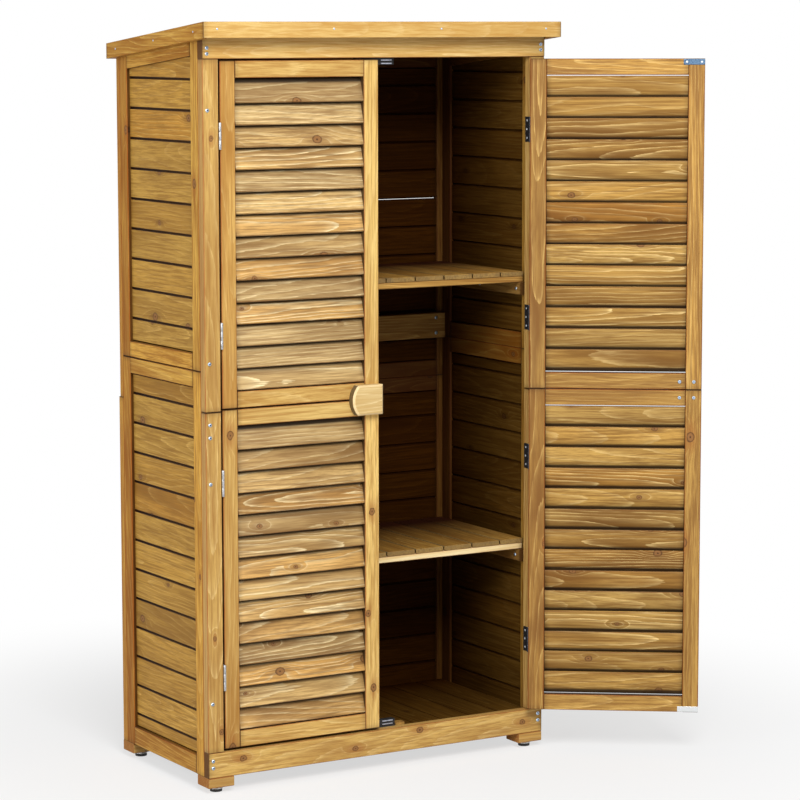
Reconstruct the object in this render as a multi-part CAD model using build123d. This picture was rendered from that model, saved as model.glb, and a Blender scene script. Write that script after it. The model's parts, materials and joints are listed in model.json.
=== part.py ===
"""Louvre-door garden storage cabinet in stained softwood, built panel by panel.

Frame: +Z up, the front faces -Y, the viewer's left is -X. The origin lies on the ground
under the middle of the body. Units are millimetres.
"""
import os
from math import cos, radians, sin

from build123d import *

# Body
BODY_W = 836.0
BODY_D = 406.0
EASE = 1.5
SIDE_JOINT_Z = 891.5
BACK_JOINT_Z = 800.0

# Front frame
FRAME_T = 21.0
POST_W = 37.0
SILL_H = 54.0
DOORWAY_H = 1446.5
HEADER_H = 56.6
POST_JOINT_DROP = 4.25

# Side and back panels
SIDE_T = 21.0
BACK_T = 16.0
LOWER_BACK_T = 22.0
PANEL_STILE_W = 35.0
PANEL_RAIL_W = 35.0
TOP_RAIL_H = 45.0
BOTTOM_RAIL_H = 41.0
CLADDING_T = 9.0
CLADDING_PITCH = 64.5
CLADDING_V = 3.0
CLADDING_RECESS = 7.0
BACK_CLADDING_RECESS = 3.5
LOWER_FIRST_ROW = {-1: 29.0, 1: 44.0}
UPPER_FIRST_ROW = {-1: 50.0, 1: 58.0}
BACK_FIRST_ROW = 52.0
BATTEN_Z = 888.0
BATTEN_H = 58.0
BATTEN_T = 14.0

# Roof
ROOF_SLOPE = 0.0989
FASCIA_H = 33.0
FASCIA_T = 16.0
BACK_FASCIA_T = 11.0
FASCIA_FRONT_GAP = 23.0
FASCIA_SIDE_GAP = 1.0
FASCIA_BACK_GAP = 0.5
FELT_RECESS = 1.5
FELT_T = 2.5
DECK_T = 11.0
DECK_BOARDS = 5

# Floor and feet
FLOOR_DROP = 6.0
FLOOR_T = 10.0
FLOOR_BOARDS = 11
BEARER_W = 30.0
BOARD_GAP = 1.0
FOOT_W = 60.0
FOOT_D = 52.0
FOOT_H = 21.5
PAD_R = 13.0
PAD_H = 6.5
CUP_R = 14.5
CUP_TOP_R = 12.0
CUP_H = 6.0

# Doors
HINGE_GAP = 3.0
MEETING_GAP = 4.0
DOOR_BOTTOM_GAP = 6.0
DOOR_TOP_GAP = 4.0
DOOR_HALF_GAP = 1.5
DOOR_T = 21.0
STILE_W = 35.0
RAIL_W = 35.0
SLATS_PER_HALF = 14
SLAT_W = 51.5
SLAT_T = 6.0
SLAT_TILT = 17.0
SLAT_END_GAP = 1.2
SLAT_EASE = 1.2
RIGHT_DOOR_OPEN = 144.0

# Handles
HANDLE_W = 74.0
HANDLE_H = 64.0
HANDLE_T = 20.0
HANDLE_ARC = 13.0
HANDLE_CHAMFER = 4.0

# Hinges
HINGE_INSET = 153.0
HINGE_L = 55.0
LEAF_W = 17.0
LEAF_T = 1.2
BARREL_R = 2.8
PIN_R = 1.5
PIN_CLEARANCE = 0.05
BORE_SIDES = 8
KNUCKLES = 3
KNUCKLE_GAP = 0.3
BARREL_CORNER_AIR = 0.14
BARREL_CLEARANCE = 0.4

# Magnetic catches and strike plates
STRIKE_L = 46.0
STRIKE_H = 12.0
STRIKE_T = 1.5
STRIKE_SET = 1.0
CATCH_X = 4.0
CATCH_L = 92.0
CATCH_D = 15.0
CATCH_OVERLAP = 12.0
CATCH_REACH = 15.0
CATCH_AIR = 0.3
STRIP_L = 26.0
STRIP_T = 1.2
STRIP_H = 2.4
STRIP_INSET = 6.0
STRIP_LEVELS = (4.0, 11.0)
BLOCK_L = 25.0
BLOCK_D = 18.0
BLOCK_H = 11.5

# Shelves
UPPER_SHELF_Z = 1040.0
LOWER_SHELF_Z = 444.0
CLEAT_T = 14.0
CLEAT_H = 28.0
CLEAT_SETBACK = 17.0
SHELF_SIDE_CLEARANCE = 3.0
SHELF_BACK_CLEARANCE = 6.0
SHELF_FRONT_SETBACK = 22.0
SHELF_SLATS = 11
SHELF_LAST_SLAT_W = 59.0
SHELF_SLAT_T = 10.0
SHELF_SLAT_GAP = 3.0
SHELF_BATTEN_W = 30.0
SHELF_BATTEN_T = 14.0
SHELF_BATTEN_SETBACK = 1.0
SHELF_BATTENS = 3

# Derived levels and faces
LEFT, RIGHT = -1, 1
FRONT_Y = -BODY_D / 2
BACK_Y = BODY_D / 2
FRAME_BACK_Y = FRONT_Y + FRAME_T
PANEL_BACK_Y = BACK_Y - BACK_T
LOWER_BACK_Y = PANEL_BACK_Y + LOWER_BACK_T
SIDE_X = BODY_W / 2
SIDE_INNER_X = SIDE_X - SIDE_T
JAMB_X = SIDE_X - POST_W
BASE_Z = PAD_H + CUP_H + FOOT_H
SILL_TOP_Z = BASE_Z + SILL_H
FLOOR_TOP_Z = SILL_TOP_Z - FLOOR_DROP
HEADER_Z = SILL_TOP_Z + DOORWAY_H
ROOF_W = BODY_W + 2 * (FASCIA_T + FASCIA_SIDE_GAP)
ROOF_D = BODY_D + FASCIA_T + BACK_FASCIA_T + FASCIA_FRONT_GAP + FASCIA_BACK_GAP
ROOF_FRONT_Y = FRONT_Y - FASCIA_T - FASCIA_FRONT_GAP
ROOF_DROP = ROOF_D * ROOF_SLOPE
DECK_BACK_Y = ROOF_FRONT_Y + ROOF_D - BACK_FASCIA_T
DECK_UNDER = FELT_RECESS + FELT_T + DECK_T
ROOF_TOP_Z = HEADER_Z + HEADER_H + DECK_UNDER + (FRONT_Y - ROOF_FRONT_Y) * ROOF_SLOPE
DOOR_Z = SILL_TOP_Z + DOOR_BOTTOM_GAP
DOOR_TOP_Z = HEADER_Z - DOOR_TOP_GAP
DOOR_HALF_H = (DOOR_TOP_Z - DOOR_Z - DOOR_HALF_GAP) / 2
DOOR_UPPER_Z = DOOR_Z + DOOR_HALF_H + DOOR_HALF_GAP
DOOR_JOINT_Z = DOOR_Z + DOOR_HALF_H + DOOR_HALF_GAP / 2
POST_JOINT_Z = DOOR_JOINT_Z - POST_JOINT_DROP
DOOR_BACK_Y = FRONT_Y + DOOR_T
FREE_X = MEETING_GAP / 2
HINGE_EDGE_X = JAMB_X - HINGE_GAP
AXIS_X = JAMB_X - HINGE_GAP / 2
AXIS_Y = FRONT_Y - (BARREL_R**2 - (HINGE_GAP / 2) ** 2) ** 0.5 - BARREL_CORNER_AIR
ABOVE_ROOF = 200.0


def roof_z(y, below=0.0):
    """Height of the roof's top plane at a depth, less a vertical distance."""
    return ROOF_TOP_Z - (y - ROOF_FRONT_Y) * ROOF_SLOPE - below


def bar(x, y, z, along, ease=EASE):
    """A straight board between pairs of limits, its long edges eased by a small chamfer."""
    limits = (sorted(x), sorted(y), sorted(z))
    i = "XYZ".index(along)
    j, k = (i + 1) % 3, (i + 2) % 3
    axes = (Vector(1, 0, 0), Vector(0, 1, 0), Vector(0, 0, 1))
    (u0, u1), (v0, v1) = limits[j], limits[k]
    plane = Plane(origin=axes[i] * limits[i][0], x_dir=axes[j], z_dir=axes[i])
    outline = Polyline(
        (u0 + ease, v0), (u1 - ease, v0), (u1, v0 + ease), (u1, v1 - ease),
        (u1 - ease, v1), (u0 + ease, v1), (u0, v1 - ease), (u0, v0 + ease), close=True,
    )
    return extrude(plane * make_face(outline), amount=limits[i][1] - limits[i][0])


def block(x, y, z):
    """A plain square-edged block between pairs of limits."""
    size = (abs(x[1] - x[0]), abs(y[1] - y[0]), abs(z[1] - z[0]))
    return Pos(sum(x) / 2, sum(y) / 2, sum(z) / 2) * Box(*size)


def yz_prism(points, x):
    """A prism with an outline in the YZ plane, between two X limits."""
    x0, x1 = sorted(x)
    plane = Plane(origin=(x0, 0, 0), x_dir=(0, 1, 0), z_dir=(1, 0, 0))
    return extrude(plane * make_face(Polyline(*points, close=True)), amount=x1 - x0)


def above_slope(below):
    """Everything above a plane that lies below the roof's top and is parallel to it."""
    y0, y1 = ROOF_FRONT_Y - ABOVE_ROOF, ROOF_FRONT_Y + ROOF_D + ABOVE_ROOF
    top = ROOF_TOP_Z + ABOVE_ROOF
    outline = [(y0, roof_z(y0, below)), (y1, roof_z(y1, below)), (y1, top), (y0, top)]
    return yz_prism(outline, (-ROOF_W, ROOF_W))


def under_roof(part):
    """A wall piece with its top cut to the underside of the roof deck."""
    return part - above_slope(DECK_UNDER)


def mirrored(part, side):
    """A piece modelled on the left, or its mirror image on the right."""
    return part if side == LEFT else mirror(part, Plane.YZ)


def sill():
    """Bottom board of the front frame, full body width."""
    return [bar((-SIDE_X, SIDE_X), (FRONT_Y, FRAME_BACK_Y), (BASE_Z, SILL_TOP_Z), "X")]


def header():
    """Top board of the front frame, cut to the roof slope."""
    board = bar((-SIDE_X, SIDE_X), (FRONT_Y, FRAME_BACK_Y), (HEADER_Z, ROOF_TOP_Z), "X")
    return [under_roof(board)]


def post(side, z0, z1):
    """One length of a front post."""
    return [bar((side * JAMB_X, side * SIDE_X), (FRONT_Y, FRAME_BACK_Y), (z0, z1), "Z")]


def clad(span, through, z0, z1, first_row, along):
    """Horizontal cladding boards between two levels, with V joints and a first row of its own.

    The boards fill the span along their axis; through is their limits in the wall's thickness.
    """
    plan = (through, span) if along == "Y" else (span, through)
    rows = []
    low, high = z0, z0 + first_row
    while low < z1:
        high = min(high, z1)
        rows.append(bar(*plan, (low, high), along, min(CLADDING_V, (high - low) / 3)))
        low, high = high, high + CLADDING_PITCH
    return rows


def side_frame_x():
    """Outer and inner X limits of the left side panel."""
    return -SIDE_X, -SIDE_INNER_X


def side_cladding_x():
    """X limits of the left side panel's boards, set back from the frame's outer face."""
    return -SIDE_X + CLADDING_RECESS, -SIDE_X + CLADDING_RECESS + CLADDING_T


def lower_side_frame(side):
    """Stiles and rails of a lower side panel."""
    x = side_frame_x()
    y0, y1 = FRAME_BACK_Y, PANEL_BACK_Y
    inner = (y0 + PANEL_STILE_W, y1 - PANEL_STILE_W)
    pieces = [
        bar(x, (y0, inner[0]), (BASE_Z, SIDE_JOINT_Z), "Z"),
        bar(x, (inner[1], y1), (BASE_Z, SIDE_JOINT_Z), "Z"),
        bar(x, inner, (BASE_Z, BASE_Z + BOTTOM_RAIL_H), "Y"),
        bar(x, inner, (SIDE_JOINT_Z - PANEL_RAIL_W, SIDE_JOINT_Z), "Y"),
    ]
    return [mirrored(p, side) for p in pieces]


def lower_side_boards(side):
    """Cladding of a lower side panel."""
    inner = (FRAME_BACK_Y + PANEL_STILE_W, PANEL_BACK_Y - PANEL_STILE_W)
    z0, z1 = BASE_Z + BOTTOM_RAIL_H, SIDE_JOINT_Z - PANEL_RAIL_W
    rows = clad(inner, side_cladding_x(), z0, z1, LOWER_FIRST_ROW[side], "Y")
    return [mirrored(p, side) for p in rows]


def upper_side_frame(side):
    """Stiles, bottom rail and sloping top rail of an upper side panel."""
    x = side_frame_x()
    y0, y1 = FRAME_BACK_Y, PANEL_BACK_Y
    inner = (y0 + PANEL_STILE_W, y1 - PANEL_STILE_W)
    top = [
        (inner[0], roof_z(inner[0], DECK_UNDER + TOP_RAIL_H)),
        (inner[1], roof_z(inner[1], DECK_UNDER + TOP_RAIL_H)),
        (inner[1], roof_z(inner[1], DECK_UNDER)),
        (inner[0], roof_z(inner[0], DECK_UNDER)),
    ]
    pieces = [
        under_roof(bar(x, (y0, inner[0]), (SIDE_JOINT_Z, ROOF_TOP_Z), "Z")),
        under_roof(bar(x, (inner[1], y1), (SIDE_JOINT_Z, ROOF_TOP_Z), "Z")),
        bar(x, inner, (SIDE_JOINT_Z, SIDE_JOINT_Z + PANEL_RAIL_W), "Y"),
        yz_prism(top, x),
    ]
    return [mirrored(p, side) for p in pieces]


def upper_side_boards(side):
    """Cladding of an upper side panel, its top rows cut to the sloping rail."""
    inner = (FRAME_BACK_Y + PANEL_STILE_W, PANEL_BACK_Y - PANEL_STILE_W)
    z0 = SIDE_JOINT_Z + PANEL_RAIL_W
    z1 = roof_z(inner[0], DECK_UNDER + TOP_RAIL_H)
    rows = clad(inner, side_cladding_x(), z0, z1, UPPER_FIRST_ROW[side], "Y")
    cut = above_slope(DECK_UNDER + TOP_RAIL_H)
    return [mirrored(p - cut, side) for p in rows]


def back_cladding_y():
    """Y limits of the back panel's boards."""
    return PANEL_BACK_Y + BACK_CLADDING_RECESS, PANEL_BACK_Y + BACK_CLADDING_RECESS + CLADDING_T


def back_frame(back, z0, z1, rail_h):
    """Stiles and bottom rail of one back panel out to a depth, before any cut to the roof."""
    y = (PANEL_BACK_Y, back)
    inner = SIDE_X - PANEL_STILE_W
    return [
        bar((-SIDE_X, -inner), y, (z0, z1), "Z"),
        bar((inner, SIDE_X), y, (z0, z1), "Z"),
        bar((-inner, inner), y, (z0, z0 + rail_h), "X"),
    ]


def back_top_z():
    """Underside of the roof deck over the middle of the back panel."""
    return roof_z(PANEL_BACK_Y, DECK_UNDER)


def lower_back_frame():
    """Frame of the lower back panel, thicker than the upper one."""
    inner = SIDE_X - PANEL_STILE_W
    rail = (BACK_JOINT_Z - PANEL_RAIL_W, BACK_JOINT_Z)
    top = bar((-inner, inner), (PANEL_BACK_Y, LOWER_BACK_Y), rail, "X")
    return back_frame(LOWER_BACK_Y, BASE_Z, BACK_JOINT_Z, BOTTOM_RAIL_H) + [top]


def upper_back_frame():
    """Frame of the upper back panel, cut to the roof slope."""
    inner = SIDE_X - PANEL_STILE_W
    rail = (back_top_z() - TOP_RAIL_H, ROOF_TOP_Z)
    pieces = back_frame(BACK_Y, BACK_JOINT_Z, ROOF_TOP_Z, PANEL_RAIL_W)
    pieces.append(bar((-inner, inner), (PANEL_BACK_Y, BACK_Y), rail, "X"))
    return [under_roof(p) for p in pieces]


def back_boards(z0, z1):
    """Cladding of one back panel."""
    inner = SIDE_X - PANEL_STILE_W
    return clad((-inner, inner), back_cladding_y(), z0, z1, BACK_FIRST_ROW, "X")


def back_batten():
    """Batten screwed across the inside of the back panel."""
    y = (PANEL_BACK_Y - BATTEN_T, PANEL_BACK_Y)
    return [bar((-SIDE_INNER_X, SIDE_INNER_X), y, (BATTEN_Z, BATTEN_Z + BATTEN_H), "X")]


def roof_layer(below, thickness, y0, y1):
    """A sheet or board that follows the roof slope between the barge boards."""
    x = ROOF_W / 2 - FASCIA_T
    outline = [
        (y0, roof_z(y0, below + thickness)), (y1, roof_z(y1, below + thickness)),
        (y1, roof_z(y1, below)), (y0, roof_z(y0, below)),
    ]
    return yz_prism(outline, (-x, x))


def roof_deck():
    """Roof boards laid across the width, side by side down the slope."""
    y0, y1 = ROOF_FRONT_Y + FASCIA_T, DECK_BACK_Y
    step = (y1 - y0) / DECK_BOARDS
    below = FELT_RECESS + FELT_T
    return [roof_layer(below, DECK_T, y0 + n * step, y0 + (n + 1) * step) for n in range(DECK_BOARDS)]


def roof_felt():
    """Roofing felt on the boards, inside the fascia."""
    y0, y1 = ROOF_FRONT_Y + FASCIA_T, DECK_BACK_Y
    return [roof_layer(FELT_RECESS, FELT_T, y0, y1)]


def level_fascia(y_outer, y_inner, top):
    """A fascia board along the front or back eave, mitred at both ends."""
    x = ROOF_W / 2
    inner = x - FASCIA_T
    plan = Polyline((-x, y_outer), (x, y_outer), (inner, y_inner), (-inner, y_inner), close=True)
    return [extrude(Pos(0, 0, top - FASCIA_H) * make_face(plan), amount=FASCIA_H)]


def barge_board(side):
    """A sloping board along one side of the roof, mitred to both fascias."""
    x, y0, y1 = ROOF_W / 2, ROOF_FRONT_Y, ROOF_FRONT_Y + ROOF_D
    inner = FASCIA_T - x
    plan = Polyline((-x, y0), (-x, y1), (inner, DECK_BACK_Y), (inner, y0 + FASCIA_T), close=True)
    depth = FASCIA_H + ROOF_DROP
    stock = extrude(Pos(0, 0, ROOF_TOP_Z - depth) * make_face(plan), amount=depth)
    slope = [(y0, roof_z(y0, FASCIA_H)), (y1, roof_z(y1, FASCIA_H)), (y1, roof_z(y1)), (y0, roof_z(y0))]
    return [mirrored(stock & yz_prism(slope, (-x, x)), side)]


def floor_boards():
    """Floor boards running front to back between the side panels."""
    pitch = (2 * SIDE_INNER_X + BOARD_GAP) / FLOOR_BOARDS
    y, z = (FRAME_BACK_Y, PANEL_BACK_Y), (FLOOR_TOP_Z - FLOOR_T, FLOOR_TOP_Z)
    starts = [-SIDE_INNER_X + n * pitch for n in range(FLOOR_BOARDS)]
    return [bar((x, x + pitch - BOARD_GAP), y, z, "Y") for x in starts]


def floor_bearers():
    """Two bearers under the floor, behind the sill and along the back."""
    z = (BASE_Z, FLOOR_TOP_Z - FLOOR_T)
    x = (-SIDE_INNER_X, SIDE_INNER_X)
    return [
        bar(x, (FRAME_BACK_Y, FRAME_BACK_Y + BEARER_W), z, "X"),
        bar(x, (PANEL_BACK_Y - BEARER_W, PANEL_BACK_Y), z, "X"),
    ]


def foot_centres():
    """Plan positions of the four feet."""
    x = SIDE_X - FOOT_W / 2
    depths = (FRONT_Y + FOOT_D / 2, LOWER_BACK_Y - FOOT_D / 2)
    return [(side * x, y) for side in (LEFT, RIGHT) for y in depths]


def foot_blocks():
    """Wooden blocks under the corners."""
    z = (PAD_H + CUP_H, BASE_Z)
    return [
        bar((x - FOOT_W / 2, x + FOOT_W / 2), (y - FOOT_D / 2, y + FOOT_D / 2), z, "X")
        for x, y in foot_centres()
    ]


def glide_cups():
    """Pressed steel cups of the furniture glides."""
    cup = Cone(CUP_R, CUP_TOP_R, CUP_H, align=(Align.CENTER, Align.CENTER, Align.MIN))
    return [Pos(x, y, PAD_H) * cup for x, y in foot_centres()]


def glide_pads():
    """Dark plastic pads that stand on the ground."""
    pad = Cylinder(PAD_R, PAD_H, align=(Align.CENTER, Align.CENTER, Align.MIN))
    return [Pos(x, y, 0) * pad for x, y in foot_centres()]


def shelf_cleats():
    """Side cleats that carry the two shelves."""
    y = (FRAME_BACK_Y + CLEAT_SETBACK, PANEL_BACK_Y - CLEAT_SETBACK)
    x = (-SIDE_INNER_X, -SIDE_INNER_X + CLEAT_T)
    left = [bar(x, y, (top - CLEAT_H, top), "Y") for top in (LOWER_SHELF_Z, UPPER_SHELF_Z)]
    return [mirrored(cleat, side) for side in (LEFT, RIGHT) for cleat in left]


def catch_face_y():
    """Front face of the catches, a little behind the strike plates of a shut door."""
    return DOOR_BACK_Y + STRIKE_T + CATCH_AIR


def catch_body(edge_z, up, foot):
    """A catch fixed behind the edge of the sill or header, reaching into the doorway."""
    x = (CATCH_X - CATCH_L / 2, CATCH_X + CATCH_L / 2)
    back = catch_face_y() + CATCH_D
    fixed = block(x, (FRAME_BACK_Y, back), (edge_z - up * foot, edge_z))
    nose = block(x, (catch_face_y() + STRIP_T, back), (edge_z, edge_z + up * CATCH_REACH))
    return fixed + nose


def catch_bodies():
    """Double magnetic catches: one stands on the floor, one hangs behind the header."""
    return [catch_body(SILL_TOP_Z, 1, FLOOR_DROP), catch_body(HEADER_Z, -1, CATCH_OVERLAP)]


def catch_plates():
    """Thin steel pole strips on the faces of the catches, two for each magnet."""
    y = (catch_face_y(), catch_face_y() + STRIP_T)
    outer = CATCH_L / 2 - STRIP_INSET
    strips = []
    for edge_z, up in ((SILL_TOP_Z, 1), (HEADER_Z, -1)):
        for level in STRIP_LEVELS:
            z = (edge_z + up * level, edge_z + up * (level + STRIP_H))
            for side in (LEFT, RIGHT):
                x = (CATCH_X + side * outer, CATCH_X + side * (outer - STRIP_L))
                strips.append(block(x, y, z))
    return strips


def catch_block():
    """Small wood block on the floor beside the bottom catch."""
    start = CATCH_X + CATCH_L / 2
    y = (catch_face_y(), catch_face_y() + BLOCK_D)
    return [bar((start, start + BLOCK_L), y, (FLOOR_TOP_Z, FLOOR_TOP_Z + BLOCK_H), "X")]


def hinge_levels():
    """Middle heights of the four hinges of a door."""
    levels = []
    for base in (DOOR_Z, DOOR_UPPER_Z):
        levels += [base + HINGE_INSET, base + DOOR_HALF_H - HINGE_INSET]
    return levels


def knuckle_spans(owner):
    """Heights, from the hinge's lower end, of the knuckles that one leaf owns."""
    step = HINGE_L / KNUCKLES
    return [(n * step, (n + 1) * step - KNUCKLE_GAP) for n in range(KNUCKLES) if n % 2 == owner]


def hinge_leaf(owner, outward):
    """One leaf in place on the left door: owner 0 is the post's, 1 the door's.

    outward is -1 for the leaf on the post's face and 1 for the one on the door's edge.
    """
    x, face = -AXIS_X, outward * HINGE_GAP / 2
    flat = (x + face, x + face - outward * LEAF_T)
    clear = AXIS_Y + BARREL_R + BARREL_CLEARANCE
    leaf = block(flat, (clear, FRONT_Y + LEAF_W), (0, HINGE_L - KNUCKLE_GAP))
    bore = PIN_R + PIN_CLEARANCE
    ring = Circle(BARREL_R) - RegularPolygon(bore, BORE_SIDES, major_radius=False)
    for z0, z1 in knuckle_spans(owner):
        knuckle = extrude(Pos(x, AXIS_Y, z0) * ring, amount=z1 - z0)
        tab = block(flat, (AXIS_Y + (bore + BARREL_R) / 2, clear), (z0, z1))
        leaf = leaf + knuckle + tab
    return leaf


def hinge_leaves(owner, side):
    """The four leaves of one door that sit on its post (owner 0) or on itself (owner 1)."""
    leaf = hinge_leaf(owner, -1 if owner == 0 else 1)
    return [mirrored(Pos(0, 0, z - HINGE_L / 2) * leaf, side) for z in hinge_levels()]


def hinge_pins():
    """Hinge pins of both doors."""
    pin = Cylinder(PIN_R, HINGE_L)
    return [Pos(side * AXIS_X, AXIS_Y, z) * pin for side in (LEFT, RIGHT) for z in hinge_levels()]


def door_frame(z):
    """Stiles and rails of a door half that stands on a level, on the left."""
    y = (FRONT_Y, DOOR_BACK_Y)
    x0, x1 = -HINGE_EDGE_X, -FREE_X
    top = z + DOOR_HALF_H
    inner = (x0 + STILE_W, x1 - STILE_W)
    return [
        bar((x0, inner[0]), y, (z, top), "Z"),
        bar((inner[1], x1), y, (z, top), "Z"),
        bar(inner, y, (z, z + RAIL_W), "X"),
        bar(inner, y, (top - RAIL_W, top), "X"),
    ]


def door_slats(z):
    """Louvre slats of a door half, lower edges to the front, each lapping the one below."""
    x = (-HINGE_EDGE_X + STILE_W, -FREE_X - STILE_W)
    slat = bar(x, (-SLAT_T / 2, SLAT_T / 2), (-SLAT_W / 2, SLAT_W / 2), "X", SLAT_EASE)
    tilted = Rot(-SLAT_TILT, 0, 0) * slat
    tilt = radians(SLAT_TILT)
    height = SLAT_W * cos(tilt) + SLAT_T * sin(tilt)
    first = z + RAIL_W + SLAT_END_GAP + height / 2
    last = z + DOOR_HALF_H - RAIL_W - SLAT_END_GAP - height / 2
    pitch = (last - first) / (SLATS_PER_HALF - 1)
    middle = FRONT_Y + DOOR_T / 2
    return [Pos(0, middle, first + n * pitch) * tilted for n in range(SLATS_PER_HALF)]


def handle():
    """D-shaped wooden handle across the two halves of the left door."""
    free, root = -FREE_X, -FREE_X - HANDLE_W
    middle = DOOR_JOINT_Z
    low, high = middle - HANDLE_H / 2, middle + HANDLE_H / 2
    straight = Polyline((root + HANDLE_ARC, low), (free, low), (free, high), (root + HANDLE_ARC, high))
    end = ThreePointArc((root + HANDLE_ARC, high), (root, middle), (root + HANDLE_ARC, low))
    plane = Plane(origin=(0, FRONT_Y, 0), x_dir=(1, 0, 0), z_dir=(0, -1, 0))
    grip = extrude(plane * make_face(straight + end), amount=HANDLE_T)
    rim = grip.faces().sort_by(Axis.Y)[0].edges()
    return [chamfer(rim, HANDLE_CHAMFER)]


def strike_plates():
    """Strike plates at the free corners of the left door's inner face."""
    x = (-FREE_X - STRIKE_L, -FREE_X)
    y = (DOOR_BACK_Y, DOOR_BACK_Y + STRIKE_T)
    levels = (DOOR_Z + STRIKE_SET, DOOR_TOP_Z - STRIKE_SET - STRIKE_H)
    return [block(x, y, (z, z + STRIKE_H)) for z in levels]


def shelf_y():
    """Front and back limits of the shelves."""
    return FRAME_BACK_Y + SHELF_FRONT_SETBACK, PANEL_BACK_Y - SHELF_BACK_CLEARANCE


def shelf_slats(seat_z):
    """Shelf slats running front to back over the battens, the last one ripped to fit."""
    reach = SIDE_INNER_X - SHELF_SIDE_CLEARANCE
    z = (seat_z + SHELF_BATTEN_T, seat_z + SHELF_BATTEN_T + SHELF_SLAT_T)
    pitch = (2 * reach - SHELF_LAST_SLAT_W) / (SHELF_SLATS - 1)
    starts = [-reach + n * pitch for n in range(SHELF_SLATS)]
    ends = [x - SHELF_SLAT_GAP for x in starts[1:]] + [reach]
    return [bar(x, shelf_y(), z, "Y") for x in zip(starts, ends)]


def shelf_battens(seat_z):
    """Cross battens under the shelf slats, their ends on the cleats."""
    reach = SIDE_INNER_X - SHELF_SIDE_CLEARANCE
    y0 = shelf_y()[0] + SHELF_BATTEN_SETBACK
    y1 = shelf_y()[1] - SHELF_BATTEN_SETBACK - SHELF_BATTEN_W
    step = (y1 - y0) / (SHELF_BATTENS - 1)
    starts = [y0 + n * step for n in range(SHELF_BATTENS)]
    z = (seat_z, seat_z + SHELF_BATTEN_T)
    return [bar((-reach, reach), (y, y + SHELF_BATTEN_W), z, "X") for y in starts]


def swung(part):
    """A right-door piece turned open about its hinge pins."""
    return Pos(AXIS_X, AXIS_Y, 0) * Rot(0, 0, RIGHT_DOOR_OPEN) * Pos(-AXIS_X, -AXIS_Y, 0) * part


def door_pieces():
    """Every piece of the left door by name, shut."""
    return {
        "door_upper_frame": door_frame(DOOR_UPPER_Z),
        "door_upper_slats": door_slats(DOOR_UPPER_Z),
        "door_lower_frame": door_frame(DOOR_Z),
        "door_lower_slats": door_slats(DOOR_Z),
        "door_handle": handle(),
        "door_hinge_leaves": hinge_leaves(1, LEFT),
        "door_strike_plates": strike_plates(),
    }


def cabinet_pieces():
    """Every fixed piece of the cabinet by name."""
    pieces = {"sill": sill(), "header": header()}
    for name, side in (("left", LEFT), ("right", RIGHT)):
        pieces[f"{name}_lower_post"] = post(side, SILL_TOP_Z, POST_JOINT_Z)
        pieces[f"{name}_upper_post"] = post(side, POST_JOINT_Z, HEADER_Z)
        pieces[f"{name}_lower_side_frame"] = lower_side_frame(side)
        pieces[f"{name}_lower_side_boards"] = lower_side_boards(side)
        pieces[f"{name}_upper_side_frame"] = upper_side_frame(side)
        pieces[f"{name}_upper_side_boards"] = upper_side_boards(side)
        pieces[f"{name}_barge_board"] = barge_board(side)
        pieces[f"{name}_post_hinge_leaves"] = hinge_leaves(0, side)
    lower_z = (BASE_Z + BOTTOM_RAIL_H, BACK_JOINT_Z - PANEL_RAIL_W)
    upper_z = (BACK_JOINT_Z + PANEL_RAIL_W, back_top_z() - TOP_RAIL_H)
    pieces |= {
        "lower_back_frame": lower_back_frame(),
        "lower_back_boards": back_boards(*lower_z),
        "upper_back_frame": upper_back_frame(),
        "upper_back_boards": back_boards(*upper_z),
        "back_batten": back_batten(),
        "roof_deck": roof_deck(),
        "roof_felt": roof_felt(),
        "front_fascia": level_fascia(ROOF_FRONT_Y, ROOF_FRONT_Y + FASCIA_T, ROOF_TOP_Z),
        "back_fascia": level_fascia(ROOF_FRONT_Y + ROOF_D, DECK_BACK_Y, ROOF_TOP_Z - ROOF_DROP),
        "floor_boards": floor_boards(),
        "floor_bearers": floor_bearers(),
        "foot_blocks": foot_blocks(),
        "glide_cups": glide_cups(),
        "glide_pads": glide_pads(),
        "shelf_cleats": shelf_cleats(),
        "catch_bodies": catch_bodies(),
        "catch_plates": catch_plates(),
        "catch_block": catch_block(),
        "hinge_pins": hinge_pins(),
    }
    return pieces


def shelf_pieces():
    """The two lift-out shelves by name."""
    return {
        "upper_shelf_slats": shelf_slats(UPPER_SHELF_Z),
        "upper_shelf_battens": shelf_battens(UPPER_SHELF_Z),
        "lower_shelf_slats": shelf_slats(LOWER_SHELF_Z),
        "lower_shelf_battens": shelf_battens(LOWER_SHELF_Z),
    }


def write(name, solids):
    """Writes one node as a group of separate solids."""
    export_step(Compound(children=[s for p in solids for s in p.solids()]), f"parts/{name}.step")


def main():
    """Builds every piece and writes one file for each node."""
    os.makedirs("parts", exist_ok=True)
    nodes = cabinet_pieces() | shelf_pieces()
    for name, solids in door_pieces().items():
        nodes[f"left_{name}"] = solids
        nodes[f"right_{name}"] = [swung(mirrored(p, RIGHT)) for p in solids]
    for name, solids in nodes.items():
        write(name, solids)
    print(len(nodes), "nodes")


main()
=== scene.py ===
"""Louvre-door garden cabinet: timber, hardware, roof felt, studio light and camera.

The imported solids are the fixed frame, in metres, +Z up, with the front facing -Y. Every board is a copy
of its solid with eased edges and a grain of its own. Screws, nails and other small hardware are added.
"""
from __future__ import annotations

import json
import logging
import math
import random
from dataclasses import dataclass, field, replace
from enum import Enum
from typing import Iterable, Sequence, Union

import bmesh
import bpy
from mathutils import Matrix, Vector

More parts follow.
